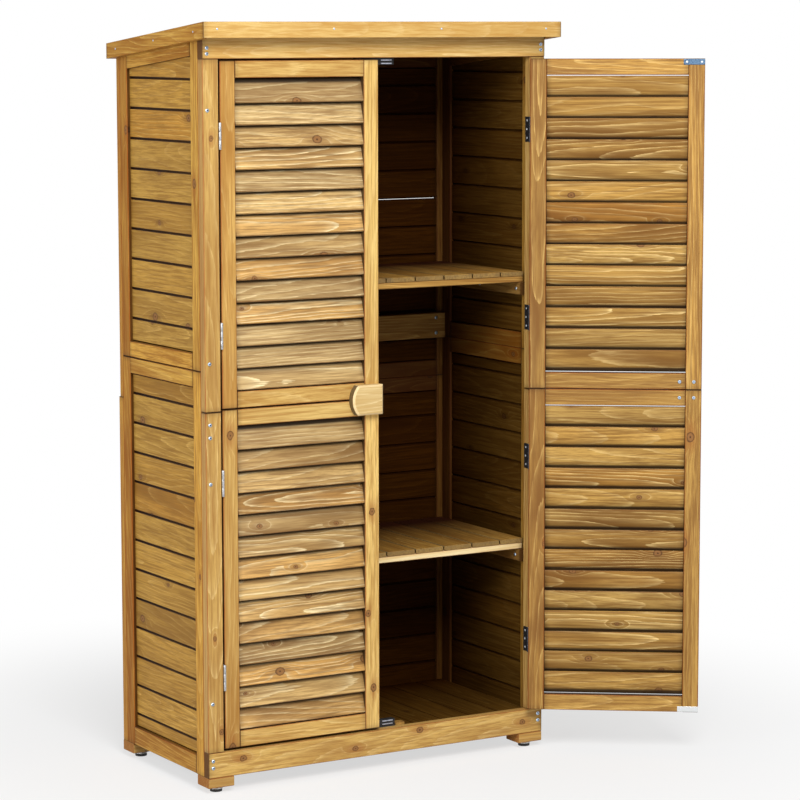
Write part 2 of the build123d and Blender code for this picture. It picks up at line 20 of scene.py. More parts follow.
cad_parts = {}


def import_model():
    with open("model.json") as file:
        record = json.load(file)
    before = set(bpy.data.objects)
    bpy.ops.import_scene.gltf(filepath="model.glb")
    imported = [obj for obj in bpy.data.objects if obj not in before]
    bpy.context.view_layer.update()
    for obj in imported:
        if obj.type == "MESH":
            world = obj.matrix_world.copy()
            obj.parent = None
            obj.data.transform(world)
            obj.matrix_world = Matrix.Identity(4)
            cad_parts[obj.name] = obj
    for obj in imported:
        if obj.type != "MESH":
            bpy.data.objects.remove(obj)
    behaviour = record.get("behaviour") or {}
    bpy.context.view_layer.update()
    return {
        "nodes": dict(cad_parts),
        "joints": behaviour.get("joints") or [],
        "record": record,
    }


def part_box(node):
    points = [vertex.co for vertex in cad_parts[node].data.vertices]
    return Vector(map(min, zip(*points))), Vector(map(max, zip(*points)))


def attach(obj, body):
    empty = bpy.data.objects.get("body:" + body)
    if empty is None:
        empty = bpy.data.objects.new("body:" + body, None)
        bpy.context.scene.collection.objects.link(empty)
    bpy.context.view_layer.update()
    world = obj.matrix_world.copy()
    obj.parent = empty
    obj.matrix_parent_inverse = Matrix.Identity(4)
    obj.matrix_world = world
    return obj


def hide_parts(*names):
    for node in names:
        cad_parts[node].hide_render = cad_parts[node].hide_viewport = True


LOG = logging.getLogger("cabinet")
MM = 0.001
SAME_POINT = 1e-6
FLAT_DEGREES = 1.0
ROUNDING_FACES = 2
WOOD_CORNER = 30.0
METAL_CORNER = 40.0
LEVEL_TURN = 0.7
LEAST_INWARD = 50.0 * MM
FRONT = Vector((0, -1, 0))
BACK = Vector((0, 1, 0))
LEFTWARD = Vector((-1, 0, 0))
RIGHTWARD = Vector((1, 0, 0))
HINGE_LEVELS = (247.0 * MM, 658.5 * MM, 966.0 * MM, 1377.5 * MM)
HINGE_SCREWS = ((-193.0 * MM, -19.0 * MM), (-192.0 * MM, 0.0), (-193.0 * MM, 19.0 * MM))
Color = tuple[float, float, float]
Spot = tuple[Vector, Vector]


def srgb(red: int, green: int, blue: int) -> Color:
    """Turns a colour as seen on screen into linear light.

    Args:
        red: Red, 0 to 255.
        green: Green, 0 to 255.
        blue: Blue, 0 to 255.

    Returns:
        The colour in linear light.
    """
    def channel(value: int) -> float:
        """Linear value of one channel."""
        share = value / 255.0
        return share / 12.92 if share <= 0.04045 else ((share + 0.055) / 1.055) ** 2.4

    return channel(red), channel(green), channel(blue)


Operand = Union["Wire", float, int]


class Wire:
    """A value in a shader, which adds Math nodes as it is used in expressions."""

    def __init__(self, graph: "ShaderGraph", socket: bpy.types.NodeSocket) -> None:
        """Wraps an output socket of a graph."""
        self.graph = graph
        self.socket = socket

    def math(self, operation: str, *values: Operand) -> "Wire":
        """Adds one Math node.

        Args:
            operation: Blender's name of the operation.
            values: Inputs of the node, in order.

        Returns:
            The node's result.
        """
        inputs = dict(enumerate(values))
        return self.graph.node("ShaderNodeMath", {"operation": operation}, inputs).out(0)

    def __add__(self, other: Operand) -> "Wire":
        """Sum."""
        return self.math("ADD", self, other)

    __radd__ = __add__

    def __sub__(self, other: Operand) -> "Wire":
        """Difference."""
        return self.math("SUBTRACT", self, other)

    def __rsub__(self, other: Operand) -> "Wire":
        """Difference from a number."""
        return self.math("SUBTRACT", other, self)

    def __mul__(self, other: Operand) -> "Wire":
        """Product."""
        return self.math("MULTIPLY", self, other)

    __rmul__ = __mul__

    def __truediv__(self, other: Operand) -> "Wire":
        """Quotient."""
        return self.math("DIVIDE", self, other)

    def __pow__(self, other: Operand) -> "Wire":
        """Power."""
        return self.math("POWER", self, other)

    def fraction(self) -> "Wire":
        """Part after the decimal point."""
        return self.math("FRACT", self)

    def greater(self, other: Operand) -> "Wire":
        """One where this is greater, else zero."""
        return self.math("GREATER_THAN", self, other)

    def clamp(self) -> "Wire":
        """Value held between zero and one."""
        return self.math("MINIMUM", self.math("MAXIMUM", self, 0.0), 1.0)

    def step(self, low: Operand, high: Operand) -> "Wire":
        """Smooth step.

        Args:
            low: Where the result is zero.
            high: Where the result is one; it may be the smaller of the two.

        Returns:
            The step, from zero to one.
        """
        share = ((self - low) / (high - low)).clamp()
        return share * share * (3.0 - 2.0 * share)


class GraphNode:
    """A node of a shader graph, with its outputs at hand."""

    def __init__(self, graph: "ShaderGraph", made: bpy.types.Node) -> None:
        """Wraps a node of a graph."""
        self.graph = graph
        self.made = made

    def out(self, key: Union[int, str] = 0) -> Wire:
        """An output socket by place or name."""
        return Wire(self.graph, self.made.outputs[key])


class ShaderGraph:
    """The node tree of one material or world."""

    def __init__(self, tree: bpy.types.NodeTree) -> None:
        """Takes over a tree and empties it."""
        self.tree = tree
        tree.nodes.clear()

    def node(self, kind: str, settings: dict[str, object] | None = None,
             inputs: dict[Union[int, str], object] | None = None) -> GraphNode:
        """Adds one node.

        Args:
            kind: Blender's name of the node type.
            settings: Properties of the node, set first.
            inputs: Values or wires by the place or name of the socket.

        Returns:
            The node.
        """
        made = self.tree.nodes.new(kind)
        for name, value in (settings or {}).items():
            setattr(made, name, value)
        for key, value in (inputs or {}).items():
            if isinstance(value, Wire):
                self.tree.links.new(value.socket, made.inputs[key])
            else:
                made.inputs[key].default_value = value
        return GraphNode(self, made)

    def mix(self, factor: Operand, first: Union[Wire, Color], second: Union[Wire, Color],
            blend: str = "MIX") -> Wire:
        """Mixes two colours.

        Args:
            factor: Share of the second colour.
            first: First colour.
            second: Second colour.
            blend: How the second goes over the first.

        Returns:
            The mixed colour.
        """
        def colour(value: Union[Wire, Color]) -> Union[Wire, tuple]:
            """A socket value with alpha, or the wire as it is."""
            return value if isinstance(value, Wire) else (*value, 1.0)

        settings = {"data_type": "RGBA", "blend_type": blend, "clamp_factor": True}
        return self.node("ShaderNodeMix", settings, {0: factor, 6: colour(first), 7: colour(second)}).out(2)

    def attribute(self, name: str) -> Wire:
        """A vector attribute of the mesh."""
        return self.node("ShaderNodeAttribute", {"attribute_name": name}).out("Vector")

    def split(self, vector: Wire) -> tuple[Wire, Wire, Wire]:
        """The three parts of a vector."""
        node = self.node("ShaderNodeSeparateXYZ", None, {0: vector})
        return node.out(0), node.out(1), node.out(2)

    def join(self, x: Operand, y: Operand, z: Operand) -> Wire:
        """A vector of three values."""
        return self.node("ShaderNodeCombineXYZ", None, {0: x, 1: y, 2: z}).out(0)

    def noise(self, vector: Wire, scale: float, detail: float = 2.0, roughness: float = 0.5) -> GraphNode:
        """A noise texture.

        Args:
            vector: Where it is read.
            scale: Its scale.
            detail: Its octaves.
            roughness: Weight of the finer octaves.

        Returns:
            The noise node, with a value and a colour.
        """
        inputs = {"Vector": vector, "Scale": scale, "Detail": detail, "Roughness": roughness}
        return self.node("ShaderNodeTexNoise", {"noise_dimensions": "3D"}, inputs)

    def bump(self, height: Wire, distance: float, strength: float = 1.0) -> Wire:
        """A bumped normal."""
        inputs = {"Strength": strength, "Distance": distance, "Height": height}
        return self.node("ShaderNodeBump", None, inputs).out("Normal")

    def surface(self, **inputs: Union[Wire, float, tuple]) -> None:
        """Ends the graph in a principled surface.

        Args:
            inputs: Values or wires by the name of the socket, with underscores for its blanks.
        """
        named = {name.replace("_", " "): value for name, value in inputs.items()}
        shader = self.node("ShaderNodeBsdfPrincipled", None, named)
        self.node("ShaderNodeOutputMaterial", None, {"Surface": shader.out("BSDF")})

    def seen(self) -> Wire:
        """Picks the rays that see the white of the studio.

        Returns:
            One for rays of the camera, of reflections and of what shines through, else zero.
        """
        path = self.node("ShaderNodeLightPath")
        rays = path.out("Is Camera Ray") + path.out("Is Glossy Ray") + path.out("Is Transmission Ray")
        return rays.clamp()


def new_material(name: str) -> tuple[bpy.types.Material, ShaderGraph]:
    """Makes an empty node material.

    Args:
        name: Name of the finish.

    Returns:
        The material and its graph.
    """
    material = bpy.data.materials.new(name)
    material.use_nodes = True
    return material, ShaderGraph(material.node_tree)


@dataclass(frozen=True)
class Trunk:
    """Where every point of a board lies in the trunk that it was cut from."""

    graph: ShaderGraph
    along: Wire
    across: Wire
    through: Wire

    def noise(self, lengthwise: float, crosswise: float, detail: float,
              roughness: float = 0.5) -> GraphNode:
        """A noise texture drawn out along the grain.

        Args:
            lengthwise: Its scale along the grain.
            crosswise: Its scale across and through the board.
            detail: Its octaves.
            roughness: Weight of the finer octaves.

        Returns:
            The noise node, with a value and a colour.
        """
        place = self.graph.join(self.along * lengthwise, self.across * crosswise, self.through * crosswise)
        return self.graph.noise(place, 1.0, detail, roughness)


@dataclass(frozen=True)
class WoodFinish:
    """Stained softwood, whose stain leaves the late wood of each ring paler than the early wood.

    It reads four attributes of a board. grain holds the place along, across and through the trunk. span
    holds the share of the board's length and the length, for the dark line where a board butts and the
    painted shade near its ends, and how ruddy or grey the board is. trim holds how far a face is an eased
    edge, how far it is an end, and the tone of the board. lee holds how much painted shade a face gets
    inside the cabinet, deeper towards the back, the board's figure, and the painted shade of laps and gaps.

    Attributes:
        name: Name of the material.
        early: Early wood where the stain is thin.
        brown: Early wood where the stain is deep.
        late: Late wood.
        edge: Eased edges and the grain round knots.
        cut: Ends of boards, if they differ from the edges; the handle's dark one is also painted shade on
            its rounded end.
        knot: Rim and pith of a knot.
        knot_heart: The rest of a knot.
        shade: Dark stain at butts, and painted shade at the ends of boards, over laps and inside the
            cabinet.
        gap_shade: Painted shade for the shadow line under a slat's neighbour and on narrow faces beside
            gaps.
        ruddy: What a ruddy board is multiplied by.
        grey: What a grey board is multiplied by.
        hue: How far boards are ruddy or grey.
        ring_pitch: Width of a year ring.
        ring_bend: How far rings stray from circles.
        figure: How clearly the late wood shows.
        knot_share: Share of the places for knots that hold one.
        knot_scale: How close the places for knots lie.
        knot_squeeze: How much closer they lie across the board than along it.
        knot_radius: The least radius of a knot, and what the largest has beyond it.
        knot_wobble: How uneven the outline of a knot is.
        butt: Where the dark line at the end of a board fades out, and where it is full.
        end_shade_reach: How far from its end a board gets painted shade, where it meets the next part.
        roughness: Roughness of clean early wood.
        specular: Strength of the reflection.
    """

    name: str
    early: Color
    brown: Color
    late: Color
    edge: Color = srgb(146, 78, 26)
    cut: Color | None = None
    knot: Color = srgb(74, 44, 20)
    knot_heart: Color = srgb(142, 98, 54)
    shade: Color = srgb(70, 40, 9)
    gap_shade: Color = srgb(34, 20, 8)
    ruddy: Color = (1.05, 0.88, 0.65)
    grey: Color = (0.86, 0.9, 1.02)
    hue: float = 0.3
    ring_pitch: float = 6.2 * MM
    ring_bend: float = 20.0 * MM
    figure: float = 0.85
    knot_share: float = 0.55
    knot_scale: float = 7.5
    knot_squeeze: float = 0.6
    knot_radius: tuple[float, float] = (4.2 * MM, 5.8 * MM)
    knot_wobble: float = 4.0 * MM
    butt: tuple[float, float] = (2.2 * MM, 0.6 * MM)
    end_shade_reach: float = 14.0 * MM
    roughness: float = 0.5
    specular: float = 0.25

    def material(self) -> bpy.types.Material:
        """Builds the material.

        Returns:
            The finished material.
        """
        material, g = new_material(self.name)
        trunk = Trunk(g, *g.split(g.attribute("grain")))
        edge, end, tone = g.split(g.attribute("trim"))
        # lee: painted shade inside the cabinet, the figure, and the painted shade of laps and gaps.
        inside, flame, lap_and_gap_shade = g.split(g.attribute("lee"))
        share, length, hue = g.split(g.attribute("span"))
        knot, halo, heart = self._knots(g, trunk)
        late, streak = self._rings(g, trunk, halo)
        fibre = trunk.noise(9.0, 620.0, 4.0, 0.65).out(0)
        stripe = trunk.noise(2.5, 190.0, 3.0, 0.6).out(0)
        worn = trunk.noise(30.0, 120.0, 2.0).out(0)

        body = self._early_wood(g, trunk, tone, hue, streak)
        lines = g.mix((late * flame * self.figure * (1.2 - tone * 0.4)).clamp(), body, self.late)
        striped = g.mix(stripe.step(0.56, 0.36) * 0.65, lines, self.brown)
        fibres = g.mix(fibre.step(0.58, 0.3) * 0.55, striped, self.brown)
        warm = g.mix(halo * halo * 0.45, fibres, self.edge)
        centre = g.mix(heart, self.knot_heart, self.knot)
        knotted = g.mix(knot * 0.92, warm, centre)
        eased = g.mix((edge * (0.3 + worn * 0.9)).clamp(), knotted, self.edge)
        ended = g.mix(end * (0.95 if self.cut else 0.6), eased, self.cut or self.edge)
        # Dark stain where a board butts, and painted shade fading out from its ends.
        butt_stain_and_shade = g.mix(self._butt_stain_and_end_shade(share, length), ended, self.shade)
        # Painted shade over a slat where its neighbour overlaps it, growing towards the overlap.
        lap_shaded = g.mix(lap_and_gap_shade.step(0.3, 1.0) * 0.25, butt_stain_and_shade, self.shade)
        # Painted shade for the shadow line at the overlap of slats and on narrow faces.
        gap_shaded = g.mix(lap_and_gap_shade.step(0.74, 0.86) * 0.92, lap_shaded, self.gap_shade)
        # Painted shade: faces inside the cabinet are multiplied by the shade colour, more towards the back.
        inside_shaded = g.mix(inside, gap_shaded, g.mix(1.0, gap_shaded, self.shade, "MULTIPLY"))

        rough = self.roughness + fibre * 0.16 - late * 0.08 + end * 0.2
        height = fibre * 0.5 + late * 0.35 - knot * 0.3
        g.surface(Base_Color=inside_shaded, Roughness=rough.clamp(), Specular_IOR_Level=self.specular,
                  Normal=g.bump(height, 0.6 * MM, 0.5))
        return material

    def _early_wood(self, g: ShaderGraph, trunk: Trunk, tone: Wire, hue: Wire, streak: Wire) -> Wire:
        """Early wood, stained in patches.

        Args:
            g: The graph.
            trunk: The place in the trunk.
            tone: How deep the board's stain is.
            hue: How ruddy or grey the board is.
            streak: A slow change from ring to ring.

        Returns:
            The colour.
        """
        patch = trunk.noise(4.0, 26.0, 3.0).out(0)
        depth = (tone * 0.8 + patch.step(0.3, 0.72) * 0.6 + streak * 0.3 - 0.35).clamp()
        stained = g.mix(depth, self.early, self.brown)
        warmer = g.mix(hue.step(0.1, 1.0) * self.hue, stained, self.ruddy, "MULTIPLY")
        return g.mix(hue.step(-0.1, -1.0) * self.hue, warmer, self.grey, "MULTIPLY")

    def _butt_stain_and_end_shade(self, share: Wire, length: Wire) -> Wire:
        """Dark stain in the joint at both ends of a board, and painted shade that fades out from them.

        Args:
            share: Share of the board's length.
            length: The board's length.

        Returns:
            How far the wood is hidden by them.
        """
        near, far = share * length, (1.0 - share) * length
        line = (near.step(*self.butt) + far.step(*self.butt)) * 0.55
        # Painted shade near the ends, where the board meets the next part.
        end_shade = (near.step(self.end_shade_reach, 0.0) + far.step(self.end_shade_reach, 0.0)) * 0.28
        return (line + end_shade).clamp()

    def _knots(self, g: ShaderGraph, trunk: Trunk) -> tuple[Wire, Wire, Wire]:
        """Knots at scattered places of the board.

        Args:
            g: The graph.
            trunk: The place in the trunk.

        Returns:
            Masks of the knot, of the grain that bends round it, and of its dark heart and rim.
        """
        wobble = g.noise(g.join(trunk.along, trunk.across, 0.0), 160.0, 2.0).out(0) - 0.5
        place = g.join(trunk.along * self.knot_squeeze, trunk.across, 0.0)
        settings = {"voronoi_dimensions": "2D", "feature": "F1"}
        inputs = {"Vector": place, "Scale": self.knot_scale, "Randomness": 0.62}
        cells = g.node("ShaderNodeTexVoronoi", settings, inputs)
        pick, size, _ = g.split(cells.out("Color"))
        least, beyond = self.knot_radius
        radius = least + size * beyond
        there = pick.greater(1.0 - self.knot_share)
        heart_x, heart_y, _ = g.split(cells.out("Position"))
        away, aside = trunk.along - heart_x / self.knot_squeeze, trunk.across - heart_y
        share = ((away * away * 0.6 + aside * aside) ** 0.5 + wobble * self.knot_wobble) / radius
        reach = (away * away * 0.14 + aside * aside) ** 0.5 / radius
        knot = share.step(1.05, 0.85) * there
        halo = reach.step(2.7, 0.5) * there
        rim = share.step(0.6, 0.95)
        pith = share.step(0.3, 0.1)
        return knot, halo, (rim + pith).clamp()

    def _rings(self, g: ShaderGraph, trunk: Trunk, halo: Wire) -> tuple[Wire, Wire]:
        """Year rings cut by the faces of the board.

        Args:
            g: The graph.
            trunk: The place in the trunk.
            halo: Grain that bends round knots.

        Returns:
            The pale late wood of each ring, and a slow change from ring to ring.
        """
        bend_x, bend_y, _ = g.split(trunk.noise(3.4, 7.0, 2.0).out("Color"))
        y = trunk.across + (bend_x - 0.5) * self.ring_bend
        z = trunk.through + (bend_y - 0.5) * self.ring_bend
        radius = (y * y + z * z) ** 0.5
        ragged = trunk.noise(26.0, 260.0, 3.0).out(0)
        uneven = g.noise(g.join(radius * 70.0, trunk.along * 0.6, 0.0), 1.0, 1.0).out(0)
        ring = radius / self.ring_pitch + uneven * 1.6 + halo * 1.5 + (ragged - 0.5) * 0.28
        share = ring.fraction()
        late = ((share ** 3.4) * 0.75 + share.step(0.8, 0.93) * 0.35) * share.step(1.0, 0.97)
        return late, uneven


@dataclass(frozen=True)
class SteelFinish:
    """Plated sheet steel with faint brushing and dull spots, worn bright below a level if it is worn."""

    name: str
    bright: Color
    dull: Color
    roughness: float = 0.32
    metallic: float = 1.0
    worn: Color | None = None
    worn_from: float = 0.9
    worn_full: float = 0.7

    def material(self) -> bpy.types.Material:
        """Builds the material.

        Returns:
            The finished material.
        """
        material, g = new_material(self.name)
        place = g.node("ShaderNodeTexCoord").out("Object")
        x, y, z = g.split(place)
        spots = g.noise(place, 420.0, 4.0, 0.6).out(0)
        brush = g.noise(g.join(x * 5000.0, y * 5000.0, z * 160.0), 1.0, 2.0).out(0)
        cloud = spots.step(0.42, 0.7)
        color = g.mix(cloud, self.bright, self.dull)
        if self.worn:
            color = g.mix(z.step(self.worn_from, self.worn_full), color, self.worn)
        rough = self.roughness + cloud * 0.18 + brush * 0.1
        height = spots * 0.4 + brush * 0.3
        g.surface(Base_Color=color, Metallic=self.metallic, Roughness=rough.clamp(),
                  Normal=g.bump(height, 0.1 * MM, 0.5))
        return material


@dataclass(frozen=True)
class PlasticFinish:
    """Black moulded plastic with a fine spark-eroded grain and dust on it."""

    name: str
    color: Color
    dust: Color
    roughness: float = 0.55

    def material(self) -> bpy.types.Material:
        """Builds the material.

        Returns:
            The finished material.
        """
        material, g = new_material(self.name)
        place = g.node("ShaderNodeTexCoord").out("Object")
        grain = g.noise(place, 2600.0, 2.0).out(0)
        cloud = g.noise(place, 90.0, 4.0).out(0)
        color = g.mix(cloud.step(0.45, 0.8) * 0.5, self.color, self.dust)
        rough = self.roughness + cloud * 0.2
        g.surface(Base_Color=color, Roughness=rough.clamp(), Normal=g.bump(grain, 0.1 * MM, 0.6))
        return material


@dataclass(frozen=True)
class FeltFinish:
    """Bitumen roofing felt faced with mineral grit."""

    name: str
    bitumen: Color
    grit: Color
    pale_grit: Color

    def material(self) -> bpy.types.Material:
        """Builds the material.

        Returns:
            The finished material.
        """
        material, g = new_material(self.name)
        place = g.node("ShaderNodeTexCoord").out("Object")
        grit = g.node("ShaderNodeTexVoronoi", {"feature": "F1"}, {"Vector": place, "Scale": 620.0})
        pick, _, _ = g.split(grit.out("Color"))
        dome = grit.out("Distance").step(0.62, 0.1)
        patch = g.noise(place, 9.0, 4.0).out(0)
        stones = g.mix(pick.step(0.55, 0.9), self.grit, self.pale_grit)
        color = g.mix((dome * 1.3).clamp(), self.bitumen, stones)
        weathered = g.mix(patch.step(0.5, 0.8) * 0.35, color, self.pale_grit)
        g.surface(Base_Color=weathered, Roughness=0.92, Normal=g.bump(dome, 1.2 * MM, 0.7))
        return material


class Finish(Enum):
    """Finishes of the cabinet."""

    FRAME = WoodFinish("honey_frame_wood", srgb(216, 176, 98), srgb(160, 114, 54), srgb(240, 208, 138),
                       figure=0.7)
    FASCIA = WoodFinish("pale_fascia_wood", srgb(220, 184, 112), srgb(190, 140, 66), srgb(236, 208, 146),
                        hue=0.0, knot_share=0.25, figure=0.7)
    SIDE = WoodFinish("amber_side_wood", srgb(218, 170, 78), srgb(148, 92, 26), srgb(234, 192, 100),
                      figure=0.6, specular=0.12)
    DOOR = WoodFinish("golden_door_wood", srgb(234, 198, 118), srgb(168, 120, 54), srgb(246, 216, 144),
                      figure=0.7)
    # Painted shade: browner copies of the door and louvre wood for the open door, whose inner face is seen.
    OPEN_DOOR = WoodFinish("brown_door_wood", srgb(202, 158, 80), srgb(128, 86, 36), srgb(228, 188, 112))
    LOUVRE = WoodFinish("tan_louvre_wood", srgb(222, 184, 118), srgb(132, 97, 53), srgb(253, 230, 176),
                        edge=srgb(120, 78, 34), hue=1.0, knot_share=0.75, knot_scale=9.0, figure=1.0)
    OPEN_LOUVRE = replace(LOUVRE, name="olive_louvre_wood", early=srgb(212, 168, 88),
                          brown=srgb(128, 87, 34), late=srgb(250, 216, 144))
    CLADDING = WoodFinish("olive_cladding_wood", srgb(199, 153, 69), srgb(140, 98, 36),
                          srgb(220, 178, 94), edge=srgb(100, 62, 22), hue=0.8, figure=0.7,
                          specular=0.14)
    # Painted shade: a copy of the cladding for boards inside the cabinet, whose shade colour darkens them
    # there.
    LINING = replace(CLADDING, name="dark_lining_wood", shade=srgb(70, 47, 8), hue=0.3, specular=0.03)
    INNER = WoodFinish("inner_wood", srgb(200, 156, 82), srgb(134, 90, 38), srgb(224, 182, 106),
                       edge=srgb(122, 86, 46), figure=0.6, roughness=0.6, specular=0.12)
    SHELF = WoodFinish("shelf_slat_wood", srgb(202, 154, 72), srgb(128, 84, 30), srgb(224, 180, 98),
                       edge=srgb(120, 106, 74), figure=0.6, roughness=0.6, specular=0.12)
    # Painted light: a pale copy of the inner wood for the lower shelf's battens, for the light on their
    # front strip.
    BATTEN = WoodFinish("pale_batten_wood", srgb(246, 224, 172), srgb(224, 188, 124), srgb(253, 240, 206),
                        hue=0.0, knot_share=0.0, figure=0.4)
    # The handle's dark end colour is its end grain and painted shade on its rounded end.
    HANDLE = WoodFinish("pale_handle_wood", srgb(222, 194, 136), srgb(198, 160, 96), srgb(238, 216, 164),
                        edge=srgb(236, 210, 160), cut=srgb(98, 80, 48), hue=0.0, knot_share=0.0)
    HINGE = SteelFinish("zinc_hinge_steel", srgb(196, 198, 202), srgb(134, 136, 140))
    # Painted shade: a dark copy of the hinge steel for the hinges on the right.
    DARK_HINGE = SteelFinish("dull_hinge_steel", srgb(86, 86, 90), srgb(40, 40, 44), 0.5)
    SCREW = SteelFinish("zinc_screw_steel", srgb(206, 222, 242), srgb(146, 172, 202), 0.26)
    HINGE_SCREW = SteelFinish("pale_screw_steel", srgb(222, 226, 232), srgb(184, 190, 198), 0.4, 0.4)
    PLATE = SteelFinish("blued_plate_steel", srgb(96, 122, 148), srgb(46, 66, 92), 0.34,
                        worn=srgb(222, 224, 224))
    STRIP = SteelFinish("bright_strip_steel", srgb(196, 200, 214), srgb(140, 146, 160), 0.3)
    GLIDE = SteelFinish("pressed_glide_steel", srgb(206, 206, 204), srgb(150, 150, 148))
    PAD = PlasticFinish("black_pad_plastic", srgb(30, 30, 31), srgb(74, 72, 68))
    CATCH = PlasticFinish("black_catch_plastic", srgb(26, 26, 28), srgb(62, 60, 58))
    FELT = FeltFinish("mineral_felt", srgb(30, 31, 32), srgb(66, 70, 70), srgb(120, 124, 120))


class Palette:
    """Materials made once each and handed out by finish."""

    def __init__(self) -> None:
        """Starts with no materials."""
        self._made: dict[Finish, bpy.types.Material] = {}

    def get(self, finish: Finish) -> bpy.types.Material:
        """Hands out a material, which is made when it is first asked for.

        Args:
            finish: The finish.

        Returns:
            Its material.
        """
        if finish not in self._made:
            self._made[finish] = finish.value.material()
        return self._made[finish]


@dataclass
class Workshop:
    """What every sub-assembly needs: the frame's nodes, their slots and bodies, and the materials."""

    nodes: dict[str, bpy.types.Object]
    slots: dict[str, str]
    bodies: dict[str, str]
    palette: Palette = field(default_factory=Palette)

    def finished(self, name: str, bm: bmesh.types.BMesh, finish: Finish, body: str, slot: str,
                 replaces: Sequence[str] = ()) -> bpy.types.Object:
        """Turns a bmesh into a piece that rides on a body.

        Args:
            name: Name of the piece.
            bm: Its shape, which is freed.
            finish: Its finish.
            body: The body that it rides on.
            slot: The record's slot for the piece; it is not used.
            replaces: Nodes that it stands for.

        Returns:
            The piece.
        """
        mesh = bpy.data.meshes.new(name)
        bm.to_mesh(mesh)
        bm.free()
        mesh.materials.append(self.palette.get(finish))
        piece = bpy.data.objects.new(name, mesh)
        bpy.context.scene.collection.objects.link(piece)
        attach(piece, body)
        if replaces:
            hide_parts(*replaces)
        LOG.info("%s: %d faces on %s", name, len(mesh.polygons), body)
        return piece


def merged_copy(node: bpy.types.Object) -> bmesh.types.BMesh:
    """Copies a node's loose triangles and merges them solid by solid, so touching boards stay apart.

    Args:
        node: The node's object.

    Returns:
        The merged copy, with flat faces whole.
    """
    bm = bmesh.new()
    bm.from_mesh(node.data)
    bm.faces.ensure_lookup_table()
    open_edges: set[frozenset] = set()
    solid: list[bmesh.types.BMVert] = []
    for face in list(bm.faces):
        corners = [tuple(round(c, 6) for c in v.co) for v in face.verts]
        for start, end in zip(corners, corners[1:] + corners[:1]):
            open_edges ^= {frozenset((start, end))}
        solid += list(face.verts)
        if not open_edges:
            bmesh.ops.remove_doubles(bm, verts=list(dict.fromkeys(solid)), dist=SAME_POINT)
            solid = []
    bmesh.ops.dissolve_limit(bm, angle_limit=math.radians(FLAT_DEGREES), verts=bm.verts, edges=bm.edges)
    return bm


def round_edges(bm: bmesh.types.BMesh, width: float, least: float) -> None:
    """Rounds every edge that turns by more than an angle.

    Args:
        bm: The shape.
        width: How far back the rounding starts.
        least: The least angle in degrees.
    """
    edges = [e for e in bm.edges if len(e.link_faces) == 2 and e.calc_face_angle(0.0) > math.radians(least)]
    bmesh.ops.bevel(bm, geom=edges, offset=width, offset_type="OFFSET", segments=ROUNDING_FACES,
                    profile=0.5, affect="EDGES", material=-1, clamp_overlap=True)


def islands(bm: bmesh.types.BMesh) -> list[list[bmesh.types.BMVert]]:
    """Groups the vertices of a shape by connected board.

    Args:
        bm: The shape.

    Returns:
        The vertices of each board, in a steady order.
    """
    seen: set[bmesh.types.BMVert] = set()
    groups = []
    for first in bm.verts:
        if first in seen:
            continue
        group, queue = [], [first]
        seen.add(first)
        while queue:
            vert = queue.pop()
            group.append(vert)
            for edge in vert.link_edges:
                other = edge.other_vert(vert)
                if other not in seen:
                    seen.add(other)
                    queue.append(other)
        groups.append(group)
    return groups


@dataclass(frozen=True)
class BoardCut:
    """How a board was cut from its trunk, and how it took the stain.

    Attributes:
        start: Where along the trunk the board lies.
        aside: How far its middle lies to the side of the pith.
        below: How far its middle lies over or under the pith.
        lean: How far the grain runs across the board, over its length.
        tilt: How far the grain runs through the board, over its length.
        flame: How clearly its figure shows.
        tone: How deep its stain is, from zero to one.
        hue: Ruddy above zero and grey below.
    """

    start: float
    aside: float
    below: float
    lean: float
    tilt: float
    flame: float
    tone: float
    hue: float


